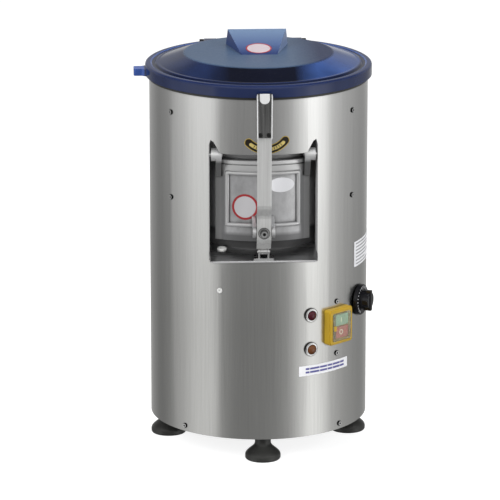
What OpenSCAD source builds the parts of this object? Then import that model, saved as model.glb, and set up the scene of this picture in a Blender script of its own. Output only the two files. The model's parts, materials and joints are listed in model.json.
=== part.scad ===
// Electric potato peeler: a round floor-standing machine with a belt-driven
// abrasive plate in a drum, a hinged lid on top and a lever-locked door in front.
// Millimetres. Z is up, the feet stand on z = 0 and the drum's axis is the Z axis.
// The door faces -Y. "az" is an angle about Z from -Y towards +X.

/* [Casing] */
// Height of the rubber feet
foot_h = 43; // [30:1:60]
// Radius of a foot's base
foot_r = 31; // [26:1:36]
// Radius of a foot's neck
foot_neck_r = 14; // [13:0.5:18]
// Distance from the casing's surface to a foot's middle
foot_inset = 31; // [31:1:50]
// Radius of the locating pocket under a foot
foot_pocket_r = 10; // [9:0.5:12]
// Outer radius of the casing
casing_r = 190; // [185:1:200]
// Thickness of the casing sheet
casing_t = 1.5; // [0.8:0.1:2]
// Height of the casing sheet
casing_h = 612; // [600:1:640]
// Thickness of the base plate
base_t = 3; // [2:0.5:5]
// Height of the base plate's rim
base_rim_h = 17; // [14:1:30]
// Length of a vent slot in the base plate
vent_slot_l = 42; // [20:1:50]
// Width of a vent slot in the base plate
vent_slot_w = 7; // [4:1:10]
// Height of the rubber edging below the casing's top edge
edging_skirt = 9; // [6:1:11]

/* [Drum] */
// Distance between the casing's surface and the drum's inner wall
drum_gap = 44; // [43:0.5:50]
// Thickness of the drum wall
drum_t = 2; // [1.5:0.1:2]
// Height of the drum floor's top above the ground
floor_z = 348; // [346:1:350]
// Thickness of the drum floor
floor_t = 10; // [8:1:12]
// Thickness of the abrasive lining
lining_t = 3; // [2:0.5:4]
// Cover of the door beyond each side of the throw-out opening
port_side = 19; // [18:0.5:26]
// Height of the throw-out opening in the drum
port_h = 124; // [100:1:126]
// Width of a stay between the drum and the casing
stay_w = 34; // [24:1:44]
// Sheet thickness of a stay
stay_t = 2.5; // [1.5:0.5:4]

/* [Window and chute] */
// Width of the window in the casing
window_w = 186; // [180:1:190]
// Height of the window's bottom edge
window_z = 363; // [358:1:364]
// Height of the window
window_h = 187; // [184:1:196]
// Rise of the notches in the window's upper corners
notch_h = 22; // [16:1:30]
// Width of a notch at its foot
notch_w = 19; // [12:1:24]
// Thickness of the recess liner
liner_t = 1.2; // [0.8:0.1:2]
// Slope of the chute plate, in degrees
chute_slope = 12; // [10:1:14]
// Thickness of the chute plate
chute_t = 2; // [1.5:0.1:3]
// Height of the chute's side upstands
chute_lip = 7; // [4:1:9]
// Radius of the chute's front corners
chute_corner_r = 6; // [3:1:10]

/* [Door] */
// Gap between the door's side and the window's side
door_side = 12; // [10:0.5:16]
// Height of the door's lower edge
door_z = 390; // [388:1:392]
// Height of the door
door_h = 142; // [134:1:144]
// Thickness of the door casting
door_t = 5; // [4:0.5:6]
// Depth of the panel sunk in the door's face
panel_depth = 2; // [1:0.5:2.5]
// Width of the door's border at each side of the sunk panel
panel_side = 23.5; // [22:0.5:30]
// Height of the sunk panel between its ridges
panel_h = 84; // [80:1:90]
// Radius of the bead round the sunk panel
bead_r = 3.6; // [2:0.1:4]
// Thickness of the rubber seal behind the door
seal_t = 2.2; // [1.5:0.1:3]
// Radius of a door hinge knuckle
knuckle_r = 11.5; // [8:0.5:12]
// Length of a door hinge knuckle
knuckle_l = 18; // [12:1:19]
// Radius of the door hinge pins
door_pin_r = 4; // [3:0.5:4.5]
// Radius of the lever's pivot journals
pivot_r = 6; // [5:0.5:6.5]
// Thickness of a lever lug on the door
lug_t = 6; // [5:0.5:8]

/* [Lever] */
// Width of the lever's flat bar
bar_w = 24.5; // [20:0.5:26]
// Thickness of the lever's flat bar
bar_t = 5; // [4:0.5:6]
// Height of the lever's pivot
pivot_z = 414; // [412:1:416]
// Distance of the lever's upper bar in front of the casing
bar_gap = 13; // [11:0.5:16]
// Height of the bar's joint with the handle
handle_z = 584; // [580:1:590]
// Length of the handle channel
handle_l = 77; // [60:1:80]
// Sheet thickness of the handle channel
handle_t = 2; // [1.5:0.1:2.5]
// Depth of the handle channel
handle_d = 9; // [7:0.5:12]
// Width of the handle channel at its top
handle_w = 27; // [26:0.5:30]

/* [Lid] */
// Overhang of the lid beyond the casing
lid_overhang = 7; // [6:0.5:12]
// Height of the lid's skirt
lid_skirt_h = 20; // [18:1:26]
// Wall thickness of the lid
lid_t = 3; // [2:0.5:4]
// Width of the lid's border round the flat disc in its middle
lid_border = 70; // [62:1:86]
// Rise of the lid's cone
lid_cone_h = 16; // [10:1:24]
// Depth of the lid's hood from front to back
hood_l = 85; // [70:1:95]
// Rise of the hood at its back
hood_h = 27.5; // [20:0.5:34]
// Width of the hood's front edge
hood_front_w = 62; // [50:1:70]
// Width of the hood's back edge
hood_back_w = 106; // [80:1:110]
// Reach of the lifting tab beyond the lid
tab_l = 20; // [16:1:30]
// Width of the lifting tab
tab_w = 25; // [20:1:34]
// Height of the lifting tab
tab_h = 12; // [8:1:14]
// Distance of the lid's hinge axis behind the casing
lid_axis_gap = 17; // [16:0.5:20]
// Radius of the lid's hinge pin
lid_pin_r = 4; // [3:0.5:5]
// Radius of a lid hinge ear
lid_ear_r = 12; // [8:0.5:13]
// Distance from the middle to the inner face of a lid ear
lid_ear_x = 65; // [60:1:70]
// Width of a lid hinge ear
lid_ear_w = 22; // [16:1:26]

/* [Drive] */
// Radius of the main shaft
shaft_r = 12.5; // [10:0.5:14]
// Outer radius of the main bearings
bearing_r = 26; // [24:0.5:28]
// Height of a main bearing
bearing_h = 15; // [12:1:18]
// Outer radius of the bearing housing
housing_r = 36; // [33:1:38]
// Gap between the peeling plate and the drum
plate_gap = 7; // [7:0.5:14]
// Thickness of the peeling plate
plate_t = 6; // [4:1:8]
// Height of the peeling plate's underside
plate_z = 370; // [368:1:372]
// Thickness of the plate's abrasive coat
grit_t = 5; // [3:0.5:6]
// Height of the waves in the plate's abrasive coat
wave_h = 9; // [5:0.5:10]
// Radius of the large pulley
pulley_r = 72; // [60:1:76]
// Radius of the motor pulley
motor_pulley_r = 20; // [18:0.5:22]
// Height of the pulleys
pulley_h = 20; // [18:1:22]
// Height of the pulleys' lower face above the ground
pulley_z = 92; // [88:1:96]
// Distance between the main shaft and the motor shaft, as a share of the casing's radius
motor_share = 0.62; // [0.6:0.005:0.63]
// Radius of the motor's body without fins, as a share of that distance
motor_fill = 0.47; // [0.43:0.01:0.48]
// Length of the motor's body
motor_l = 136; // [120:1:140]
// Radius of the motor shaft
motor_shaft_r = 8; // [6:0.5:9]

/* [Controls] */
// Width of the switch frame
switch_w = 56; // [54:1:60]
// Height of the switch frame
switch_h = 63; // [60:1:68]
// Depth of the switch frame
switch_d = 13; // [12:0.5:16]
// Direction of the switch
switch_az = 42.5; // [38:0.5:45]
// Height of the switch's middle
switch_z = 234; // [225:1:240]
// Travel of the start and stop buttons
button_travel = 3; // [2:0.5:3.5]
// Direction of the pilot lamps
lamp_az = 25.5; // [20:0.5:26]
// Height of the lower pilot lamp
lamp_z = 200; // [190:1:210]
// Distance between the pilot lamps
lamp_gap = 61; // [50:1:70]
// Radius of a lamp's bezel
bezel_r = 12; // [10:0.5:14]
// Direction of the timer knob
timer_az = 64; // [62:0.5:75]
// Height of the timer knob
timer_z = 263; // [250:1:275]
// Radius of the timer knob's skirt
knob_r = 27; // [22:0.5:30]
// Radius of the timer knob's grip
grip_r = 14; // [12:0.5:18]

/* [Pipes] */
// Outer radius of the drain outlet
drain_r = 25; // [20:0.5:27]
// Wall thickness of the drain elbow
drain_t = 2.5; // [2:0.5:3.5]
// Distance between the drum's inner wall and the drain hole's middle
drain_inset = 29; // [27:1:38]
// Outer radius of the water inlet's thread
inlet_r = 13.2; // [10:0.1:16]
// Height of the water inlet
inlet_z = 618; // [612:1:620]
// Direction of the water inlet
inlet_az = 215; // [205:1:230]
// Radius of the cable gland's bore
gland_bore_r = 5; // [3:0.5:6]
// Height of the cable gland
gland_z = 88; // [80:1:110]
// Direction of the cable gland
gland_az = 148; // [135:1:160]

/* [Clearances] */
// Radial clearance of turning shafts and pins
run_gap = 0.05; // [0.02:0.01:0.08]
// Gap between neighbouring sheets and castings
seat_gap = 0.3; // [0.2:0.1:0.4]
// Play at the sides of moving pieces
side_gap = 1; // [0.6:0.1:1.2]

/* [Hidden] */
$fn = 96;
cut = 1;

// Casing and base
casing_z = foot_h;
casing_top = casing_z + casing_h;
casing_in = casing_r - casing_t;
rim_r = casing_in - seat_gap;
foot_circle_r = casing_r - foot_inset;
base_top = casing_z + base_t;
base_screw_z = casing_z + 10;
screw_r = 2;
screw_head_r = 4.4;
screw_head_h = 2.6;
stay_az = [55, 125, 235, 305];
stay_screw_z = [458, 608];
foot_screw_r = 4;
foot_head_r = 6.5;
foot_head_h = 5.3;
foot_pocket_h = 18;
foot_head_z = foot_pocket_h + 1;
casing_plug_az = -23.3;
casing_plug_z = 308;
casing_plug_r = 3;

// Drum
drum_r = casing_r - drum_gap;
plate_r = drum_r - plate_gap;
drum_out = drum_r + drum_t;
drum_top = casing_top - 4;
lining_out = drum_r - seat_gap;
lining_in = lining_out - lining_t;
lining_z = plate_z + plate_t + grit_t + wave_h + 2;
lining_top = inlet_z - 20;
ring_z = casing_top - edging_skirt - 3;
ring_t = 2;
port_z = door_z + (door_h - port_h) / 2 - 1;

// Door and recess
door_w = window_w - 2 * door_side;
port_w = door_w - 2 * port_side;
panel_w = door_w - 2 * panel_side;
side_y = sqrt(casing_r * casing_r - window_w * window_w / 4);
frame_t = 3;
frame_in = drum_out + seat_gap;
frame_out = frame_in + frame_t;
seal_in = frame_out + seat_gap;
door_in = seal_in + seal_t + 0.1;
door_out = door_in + door_t;
door_top = door_z + door_h;
panel_z = door_z + (door_h - panel_h) / 2 + 3;
hinge_y = 7.7 - side_y;
hinge_z = door_top + 12;
liner_x = window_w / 2 - liner_t;
knuckle_out = liner_x - 2.5;
knuckle_in = knuckle_out - knuckle_l;
window_top = window_z + window_h;
window_low = window_z - chute_t - 0.75;
liner_top = window_top + notch_h + 3;
chute_front = casing_r + 1;
plug_r = 6;
plug_at = [23 - window_w / 2, 49];

// Lever
pivot_y = -(door_out + 26);
bar_front_r = casing_r + bar_gap;
barrel_r = pivot_r + 2;
barrel_flat = 6;
bar_lower_y = pivot_y - barrel_flat - bar_t / 2;
bar_path = [
    [-bar_front_r, handle_z + 20],
    [-bar_front_r, pivot_z + 48],
    [bar_lower_y, pivot_z + 29],
    [bar_lower_y, pivot_z - 14],
    [pivot_y + 5, pivot_z - 29]
];
lug_x = bar_w / 2 + side_gap;
tail = bar_path[4];
roller_r = 5;
roller_y = tail[0] + 2;
roller_z = tail[1] - bar_t / 2 - seat_gap - roller_r;
handle_y = -bar_front_r - bar_t / 2;
rivet_r = 2.5;
rivet_x = 7;
catch_y = (chute_front + roller_y) / cos(chute_slope);
catch_bolt_x = 13;
catch_bolt_r = 2.1;

// Lid
lid_r = casing_r + lid_overhang;
lid_disc_r = lid_r - lid_border;
lid_axis_y = casing_r + lid_axis_gap;
lid_z = casing_top - 4;
lid_top = lid_z + lid_skirt_h;
disc_z = lid_top + 1.5 + lid_cone_h;
edging_top = casing_top + 2;
edging_out = casing_r + 1.8;
lid_axis_z = lid_z + 4;
lid_ear_out = lid_ear_x + lid_ear_w;
hood_front_y = -28;
lug_w = 20;
lug_h = 58;
lug_out = lid_ear_x - side_gap;
lug_screw_r = 3;
lug_screw_z = [lid_z - 47, lid_z - 28];

// Drive
motor_x = casing_r * motor_share;
motor_r = motor_x * motor_fill;
floor_bottom = floor_z - floor_t;
housing_bottom = floor_bottom - 102;
housing_flange_r = housing_r + 22;
housing_bolt_r = housing_r + 12;
plate_top = plate_z + plate_t;
grit_z = plate_top;
motor_z = pulley_z + pulley_h + 20;
motor_top = motor_z + motor_l;
fin_r = motor_r + 7;
bracket_x = -(motor_x - fin_r - 4);
bracket_t = 6;
bracket_bolt_y = 46;
bracket_bolt_x = [bracket_x - 74, bracket_x - 14];
bolt_r = 4;
bolt_hole_r = 4.1;
plate_cap_r = 22;
belt_t = 6;
belt_h = 9;
groove_d = 8;

// Controls
button_w = 38;
button_h = 20;
button_t = 3.2;
button_pitch = 11;
switch_front = -casing_r - switch_d + 1;
button_front = switch_front + 2;
switch_floor = button_front + button_t + button_travel + seat_gap;
switch_screw_z = [switch_z - 51, switch_z + 42];
lamp_body_r = 8;
knob_stand = 0.8;
spindle_r = 3;

// Pipes
drain_y = drum_r - drain_inset;
inlet_pipe_r = 9.5;
gland_thread_r = 8;
bend_r = 38;
drain_z = floor_bottom - 22 - bend_r;
spigot_y = casing_r + 7;

// ---- helpers ----

// A tube about Z between two heights
module tube(r_out, r_in, z0, z1) {
    translate([0, 0, z0])
        difference() {
            cylinder(h = z1 - z0, r = r_out);
            translate([0, 0, -cut]) cylinder(h = z1 - z0 + 2 * cut, r = r_in);
        }
}

// A round rod along X
module rod_x(r, x0, x1) {
    translate([x0, 0, 0]) rotate([0, 90, 0]) cylinder(h = x1 - x0, r = r);
}

// A round rod along Y
module rod_y(r, y0, y1) {
    translate([0, y1, 0]) rotate([90, 0, 0]) cylinder(h = y1 - y0, r = r);
}

// Children drawn in front of the axis, turned to a direction and raised
module at_az(az, z = 0) {
    rotate([0, 0, az]) translate([0, 0, z]) children();
}

// Both halves of something that the machine has on its left and its right
module both_sides() {
    children();
    mirror([1, 0, 0]) children();
}

// A rectangle with round corners, about its own middle
module round_rect(w, h, r) {
    square([w - 2 * r, h], center = true);
    square([w, h - 2 * r], center = true);
    for (x = [-1, 1], y = [-1, 1])
        translate([x * (w / 2 - r), y * (h / 2 - r)]) circle(r = r, $fn = 32);
}

// A plate in the XZ plane, from one Y to another
module slab_y(y0, y1) {
    translate([0, y1, 0]) rotate([90, 0, 0]) linear_extrude(y1 - y0) children();
}

// An outline given in the YZ plane, drawn out along X
module slab_x(x0, x1) {
    translate([x0, 0, 0]) rotate([90, 0, 90]) linear_extrude(x1 - x0) children();
}

// The unit normal of a path's leg, and the corner of a path's edge offset by d
function leg_normal(p, i) = let (d = p[i + 1] - p[i]) [-d[1], d[0]] / norm(d);
function edge_corner(p, i, d) =
    i == 0 ? p[0] + d * leg_normal(p, 0) :
    i == len(p) - 1 ? p[i] + d * leg_normal(p, i - 1) :
    let (a = leg_normal(p, i - 1), b = leg_normal(p, i)) p[i] + d * (a + b) / (1 + a * b);

// A path cut at its corners, so that a bar bent along it has rounded bends
function eased(p, ease) = concat(
    [p[0]],
    [for (i = [1:len(p) - 2]) for (q = [p[i - 1], p[i + 1]])
        p[i] + ease * (q - p[i]) / norm(q - p[i])],
    [p[len(p) - 1]]);

// A screw with a round head outside the casing, pointing to the axis
module casing_screw(az, z, reach) {
    at_az(az, z) difference() {
        union() {
            rod_y(screw_r - run_gap, -casing_r, -casing_r + reach);
            rod_y(screw_head_r, -casing_r - 1.4, -casing_r);
            rod_y(screw_head_r - 1, -casing_r - screw_head_h, -casing_r - 1);
        }
        translate([0, -casing_r - 1, 0]) rotate([90, 0, 0]) cylinder(h = 4, r = 2, $fn = 6);
    }
}

// ---- casing and base ----

// The window: straight sides, and a slanted notch in each upper corner
module window_outline() {
    half = window_w / 2;
    translate([-half, window_low]) square([window_w, window_top - window_low]);
    both_sides()
        polygon([
            [half, window_top - cut], [half, window_top + notch_h * 0.55],
            [half - 3, window_top + notch_h], [half - 8, window_top + notch_h - 3],
            [half - notch_w, window_top], [half - notch_w, window_top - cut]
        ]);
}

module casing() {
    color("silver") difference() {
        tube(casing_r, casing_in, casing_z, casing_top);
        slab_y(-casing_r - 5, -casing_r / 2) window_outline();
        for (i = [0:3]) at_az(45 + 90 * i, base_screw_z) rod_y(screw_r, -casing_r - cut, 0);
        for (az = stay_az, z = stay_screw_z) at_az(az, z) rod_y(screw_r, -casing_r - cut, 0);
        at_az(casing_plug_az, casing_plug_z) rod_y(casing_plug_r, -casing_r - cut, 0);
        for (z = [0, lamp_gap]) at_az(lamp_az, lamp_z + z) rod_y(lamp_body_r + 0.2, -casing_r - cut, 0);
        at_az(timer_az, timer_z) rod_y(spindle_r + 2, -casing_r - cut, 0);
        at_az(switch_az, switch_z)
            slab_y(-casing_r - cut, -casing_r + 20) round_rect(switch_w - 14, switch_h - 14, 3);
        for (z = switch_screw_z) at_az(switch_az, z) rod_y(screw_r, -casing_r - cut, 0);
        translate([0, 0, drain_z]) rod_y(drain_r + 3, 0, casing_r + cut);
        at_az(inlet_az, inlet_z) rod_y(inlet_pipe_r + 0.2, -casing_r - cut, 0);
        at_az(gland_az, gland_z) rod_y(gland_thread_r + 0.2, -casing_r - cut, 0);
        both_sides() for (z = lug_screw_z) translate([lug_out - lug_w / 2, 0, z])
            rod_y(lug_screw_r + 0.2, 0, casing_r + cut);
    }
}

// A plate with a turned-up rim, drilled for the feet and slotted for air
module base_plate() {
    color("gray") difference() {
        union() {
            translate([0, 0, casing_z]) cylinder(h = base_t, r = rim_r);
            tube(rim_r, rim_r - 2.5, base_top - cut, casing_z + base_rim_h);
        }
        for (i = [0:3]) at_az(90 * i) translate([0, -foot_circle_r, casing_z - cut])
            cylinder(h = base_t + 2 * cut, r = foot_screw_r + 0.3, $fn = 48);
        for (i = [0:3]) at_az(45 + 90 * i, base_screw_z) rod_y(screw_r, -casing_r, -rim_r + 8);
        for (i = [0:11]) at_az(30 * i + 15) translate([0, -75 - vent_slot_l / 2, casing_z - cut])
            linear_extrude(base_t + 2 * cut)
                round_rect(vent_slot_w, vent_slot_l, vent_slot_w / 2 - 0.1);
    }
}

// The side of a foot flares from its neck to its base in a smooth curve
function foot_radius(t) = foot_neck_r + (foot_r - foot_neck_r) * (1 + cos(180 * t)) / 2;

module feet() {
    flare_z0 = 7;
    flare_z1 = foot_h - 14;
    steps = 10;
    color([0.12, 0.12, 0.13])
        for (i = [0:3]) at_az(90 * i) translate([0, -foot_circle_r, 0])
            rotate_extrude($fn = 64) polygon(concat(
                [[foot_pocket_r, 0], [foot_r - 1.5, 0], [foot_r, 2]],
                [for (k = [0:steps]) [
                    foot_radius(k / steps), flare_z0 + (flare_z1 - flare_z0) * k / steps]],
                [[foot_neck_r, foot_h - 4], [foot_neck_r + 2.5, foot_h - 3],
                 [foot_neck_r + 2.5, foot_h], [foot_screw_r + 0.3, foot_h],
                 [foot_screw_r + 0.3, foot_head_z + foot_head_h],
                 [foot_head_r + 0.7, foot_head_z + foot_head_h],
                 [foot_head_r + 0.7, foot_pocket_h], [foot_pocket_r, foot_pocket_h]]));
}

// A screw up through each foot and the base, its head sunk above the foot's pocket
module foot_screws() {
    nut_h = 6.5;
    color("silver")
        for (i = [0:3]) at_az(90 * i) translate([0, -foot_circle_r, 0]) {
            translate([0, 0, foot_head_z])
                cylinder(h = foot_head_h, r = foot_head_r, $fn = 6);
            translate([0, 0, foot_head_z + 1])
                cylinder(h = base_top + nut_h + 1 - foot_head_z, r = foot_screw_r, $fn = 48);
            translate([0, 0, base_top]) cylinder(h = nut_h, r = foot_head_r + 1, $fn = 6);
        }
}

module casing_screws() {
    color("silver") {
        for (i = [0:3]) casing_screw(45 + 90 * i, base_screw_z, 8);
        for (az = stay_az, z = stay_screw_z) casing_screw(az, z, 9);
        for (z = switch_screw_z) casing_screw(switch_az, z, 8);
        both_sides() for (z = lug_screw_z)
            translate([lug_out - lug_w / 2, 0, z]) {
                y = sqrt(casing_in * casing_in - lug_out * lug_out) - 1;
                rod_y(lug_screw_r, y - 1, casing_r + 4);
                rod_y(lug_screw_r + 2, y - 5, y);
            }
    }
}

// The ring that joins the casing and the drum below the lid
module top_ring() {
    color("silver") rotate_extrude() polygon([
        [drum_out + seat_gap, ring_z - ring_t], [drum_out + seat_gap, ring_z + 4],
        [drum_out + seat_gap + ring_t, ring_z + 4], [drum_out + seat_gap + ring_t, ring_z],
        [rim_r, ring_z], [rim_r, ring_z - 12], [rim_r - ring_t, ring_z - 12],
        [rim_r - ring_t, ring_z - ring_t]
    ]);
}

// Rubber edging pushed over the casing's top edge
module rim_edging() {
    bottom = casing_top - edging_skirt;
    gap = 0.1;
    color([0.08, 0.08, 0.09]) rotate_extrude() polygon([
        [casing_r + gap, bottom], [edging_out, bottom], [edging_out, edging_top - 1.5],
        [edging_out - 1.5, edging_top], [casing_in - 3, edging_top],
        [casing_in - 3, bottom + 4], [casing_in - gap, bottom + 4],
        [casing_in - gap, casing_top], [casing_r + gap, casing_top]
    ]);
}

// ---- drum ----

// The throw-out opening as a block in front of the axis
module port_block(extra) {
    translate([-port_w / 2 - extra, -casing_r, port_z - extra])
        cube([port_w + 2 * extra, casing_r, port_h + 2 * extra]);
}

module drum() {
    color("silver") difference() {
        tube(drum_out, drum_r, floor_z, drum_top);
        port_block(0);
        at_az(inlet_az, inlet_z) rod_y(inlet_pipe_r + 0.2, -casing_r, 0);
    }
}

// The lining is ribbed: shallow flutes run down it all the way round
module drum_lining() {
    flutes = 24;
    color([0.25, 0.25, 0.26]) difference() {
        tube(lining_out, lining_in, lining_z, lining_top);
        port_block(1);
        for (i = [0:flutes - 1]) at_az((i + 0.5) * 360 / flutes)
            translate([0, -lining_in + 1.2, lining_z - cut])
                cylinder(h = lining_top - lining_z + 2 * cut, r = 2.6, $fn = 24);
    }
}

module drum_floor() {
    color([0.7, 0.7, 0.71]) difference() {
        union() {
            translate([0, 0, floor_bottom]) cylinder(h = floor_t, r = drum_out + 6);
            tube(shaft_r + 14, shaft_r + 10, floor_z - cut, floor_z + 12);
            for (i = [0:5]) at_az(60 * i + 30)
                translate([-3, -drum_out, floor_bottom - 4])
                    cube([6, drum_out - housing_flange_r - 6, 4 + cut]);
        }
        translate([0, 0, floor_bottom - cut]) cylinder(h = floor_t + 20, r = shaft_r + 10);
        translate([0, drain_y, floor_bottom - 10]) cylinder(h = floor_t + 20, r = drain_r - drain_t);
        translate([0, drain_y, floor_bottom - 10]) cylinder(h = 10, r = drain_r + 13);
        translate([bracket_x - 130, -70, floor_bottom - 10]) cube([130 + bracket_t, 140, 10]);
        for (i = [0:3]) at_az(90 * i + 45) translate([0, -housing_bolt_r, floor_bottom - cut])
            cylinder(h = 8 + cut, r = bolt_hole_r, $fn = 48);
        for (y = [-1, 1], x = bracket_bolt_x) translate([x, y * bracket_bolt_y, floor_bottom - cut])
            cylinder(h = 8 + cut, r = bolt_hole_r, $fn = 48);
    }
}

// Four upright channels hold the drum inside the casing
module drum_stays() {
    z0 = stay_screw_z[0] - 16;
    z1 = stay_screw_z[1] + 16;
    color("silver") for (az = stay_az) difference() {
        intersection() {
            tube(rim_r, drum_out + seat_gap, z0, z1);
            at_az(az) translate([-stay_w / 2, -casing_r, z0 - cut])
                cube([stay_w, casing_r, z1 - z0 + 2 * cut]);
        }
        at_az(az) translate([-stay_w / 2 + stay_t, -rim_r + stay_t + 3, z0 - cut])
            cube([stay_w - 2 * stay_t, rim_r - stay_t - 3 - drum_out + 12, z1 - z0 + 2 * cut]);
        for (z = stay_screw_z) at_az(az, z) rod_y(screw_r, -casing_r, -drum_out);
    }
}

// ---- recess, chute and latch ----

// A cast frame round the throw-out opening, which the door's seal closes on
module port_frame() {
    color([0.62, 0.62, 0.63]) difference() {
        intersection() {
            tube(frame_out, frame_in, port_z - 7, port_z + port_h + 7);
            port_block(11);
        }
        port_block(0);
    }
}

module recess_liner() {
    z0 = window_z - 4;
    color([0.3, 0.3, 0.31]) difference() {
        intersection() {
            union() {
                both_sides() translate([liner_x, -casing_r, z0])
                    cube([liner_t, casing_r, liner_top - z0]);
                translate([-liner_x - liner_t, -casing_r, liner_top - liner_t])
                    cube([window_w, casing_r, liner_t]);
            }
            tube(rim_r, drum_out + seat_gap, z0 - cut, liner_top + cut);
        }
        translate([0, hinge_y, hinge_z]) rod_x(door_pin_r + run_gap, -window_w, window_w);
        translate([-window_w, -drum_out * 0.72, z0 - cut])
            cube([2 * window_w, drum_out, liner_top - z0 + 2 * cut]);
    }
}

// Children laid on the slope of the chute: z = 0 is the plate's upper face there,
// and y is measured from its front edge
module on_chute() {
    translate([0, -chute_front, window_z]) rotate([chute_slope, 0, 0]) children();
}

module chute() {
    depth = 110;
    half = window_w / 2 - seat_gap;
    r = chute_corner_r;
    color([0.35, 0.35, 0.36]) difference() {
        on_chute() {
            translate([0, 0, -chute_t]) linear_extrude(chute_t) {
                translate([-half, r]) square([2 * half, depth - r]);
                translate([-half + r, 0]) square([2 * half - 2 * r, 2 * r]);
                for (x = [-1, 1]) translate([x * (half - r), r]) circle(r = r, $fn = 48);
            }
            translate([0, 1, -chute_t / 2]) rod_x(chute_t * 0.85, -half + r, half - r);
            both_sides() translate([half - liner_t, r, -cut])
                cube([liner_t, chute_front - side_y - r, chute_lip + cut]);
        }
        translate([0, 0, window_z - 30]) cylinder(h = 100, r = drum_out + seat_gap);
        both_sides() translate([liner_x - 0.2, -side_y, window_z - 20]) cube([20, 80, 80]);
        on_chute() for (x = [-1, 1]) translate([x * catch_bolt_x, catch_y, -10])
            cylinder(h = 20, r = catch_bolt_r, $fn = 32);
        on_chute() translate([plug_at[0], plug_at[1], -10]) cylinder(h = 20, r = plug_r, $fn = 48);
    }
}

// Round nylon plugs: one in the chute plate, and a small one in the casing
module chute_plug() {
    color("white") {
        on_chute() translate([plug_at[0], plug_at[1], 0]) {
            translate([0, 0, 0.05]) cylinder(h = 1.4, r = plug_r + 2, $fn = 48);
            translate([0, 0, 1.4]) cylinder(h = 0.8, r = plug_r, $fn = 48);
            translate([0, 0, -chute_t - 2]) cylinder(h = chute_t + 3, r = plug_r - 0.2, $fn = 48);
        }
        at_az(casing_plug_az, casing_plug_z) difference() {
            union() {
                rod_y(casing_plug_r + 1.6, -casing_r - 1.2, -casing_r - 0.05);
                rod_y(casing_plug_r - 0.05, -casing_r - 0.1, -casing_in + 3);
            }
            rod_y(1.2, -casing_r - 2, -casing_r + 0.5);
        }
    }
}

// A bracket with two ears that carry the roller under the lever's tail
module latch_catch() {
    ear_t = 3;
    ear_x = 6.5;
    foot_t = 2.5;
    color("silver") difference() {
        union() {
            on_chute() translate([-17, catch_y - 7, 0.05]) cube([34, 14, foot_t]);
            both_sides() difference() {
                slab_x(ear_x, ear_x + ear_t) {
                    translate([roller_y, roller_z]) circle(r = roller_r, $fn = 48);
                    translate([roller_y - roller_r, window_z])
                        square([2 * roller_r, roller_z - window_z]);
                }
                on_chute() translate([0, 0, 0.05 - 30]) cube([30, 80, 30]);
            }
        }
        translate([0, roller_y, roller_z]) rod_x(2.5 + run_gap, -20, 20);
        on_chute() for (x = [-1, 1]) translate([x * catch_bolt_x, catch_y, -10])
            cylinder(h = 20, r = catch_bolt_r, $fn = 32);
    }
}

module latch_roller() {
    color("gray") translate([0, roller_y, roller_z]) {
        rod_x(roller_r, -6, 6);
        rod_x(2.5, -11, 11);
    }
}

// ---- door ----

// The part of a ring that lies behind the door's outline
module door_arc(r_out, r_in, w, z0, z1) {
    intersection() {
        tube(r_out, r_in, z0, z1);
        translate([-w / 2, -casing_r, z0 - cut]) cube([w, casing_r, z1 - z0 + 2 * cut]);
    }
}

// The raised bead round the sunk panel: two arcs, two posts and four ball corners
module panel_bead() {
    r = door_out - 0.4;
    x = panel_w / 2 + bead_r;
    a = asin(x / r);
    z0 = panel_z - bead_r;
    z1 = panel_z + panel_h + bead_r;
    for (z = [z0, z1]) rotate([0, 0, -90 - a]) translate([0, 0, z])
        rotate_extrude(angle = 2 * a) translate([r, 0]) circle(r = bead_r, $fn = 32);
    both_sides() at_az(a) translate([0, -r, 0]) {
        translate([0, 0, z0]) cylinder(h = z1 - z0, r = bead_r, $fn = 32);
        for (z = [z0, z1]) translate([0, 0, z]) sphere(r = bead_r, $fn = 32);
    }
}

// The arm from the door's shoulder up to its hinge knuckle, and the knuckle
module door_arm() {
    arm_y = -sqrt(door_in * door_in - knuckle_in * knuckle_in);
    both_sides() {
        translate([0, hinge_y, hinge_z]) rod_x(knuckle_r, knuckle_in, knuckle_out);
        slab_x(knuckle_in, door_w / 2) polygon([
            [arm_y + 1, door_top - 30], [arm_y - 9, door_top - 30],
            [hinge_y - knuckle_r * 0.9, hinge_z - 6], [hinge_y - knuckle_r, hinge_z],
            [hinge_y, hinge_z + knuckle_r * 0.7], [hinge_y + knuckle_r * 0.8, hinge_z + 4],
            [arm_y + 3, door_top]
        ]);
    }
}

// The lugs that carry the lever's barrel
module lever_lugs() {
    r = pivot_r + 5;
    both_sides() slab_x(lug_x, lug_x + lug_t) {
        translate([pivot_y, pivot_z]) circle(r = r, $fn = 48);
        polygon([
            [-door_in - 2, pivot_z - r - 2], [pivot_y, pivot_z - r],
            [pivot_y - 4, pivot_z + r * 0.9], [-door_in - 2, pivot_z + r + 10]
        ]);
    }
}

module door() {
    lip_z = door_top - 6;
    color([0.68, 0.69, 0.7]) difference() {
        union() {
            difference() {
                door_arc(door_out, door_in, door_w, door_z, door_top);
                door_arc(door_out + cut, door_out - panel_depth, panel_w, panel_z,
                    panel_z + panel_h);
                door_arc(door_out + cut, door_out - 1.2, door_w + 2, lip_z - 2.5, lip_z);
            }
            door_arc(door_out + 1.6, door_out - 1, door_w - 22, lip_z, door_top);
            panel_bead();
            door_arm();
            lever_lugs();
        }
        translate([0, hinge_y, hinge_z]) rod_x(door_pin_r + run_gap, -casing_r, casing_r);
        translate([0, pivot_y, pivot_z]) rod_x(pivot_r + run_gap, -50, 50);
        cylinder(h = door_top, r = door_in);
    }
}

module door_seal() {
    edge = 9;
    color([0.1, 0.1, 0.1]) difference() {
        door_arc(door_in - 0.1, seal_in, port_w + 2 * edge, port_z - edge / 2,
            port_z + port_h + edge / 2);
        translate([-port_w / 2 - 2, -casing_r, port_z - 1])
            cube([port_w + 4, casing_r, port_h + 2]);
    }
}

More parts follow.
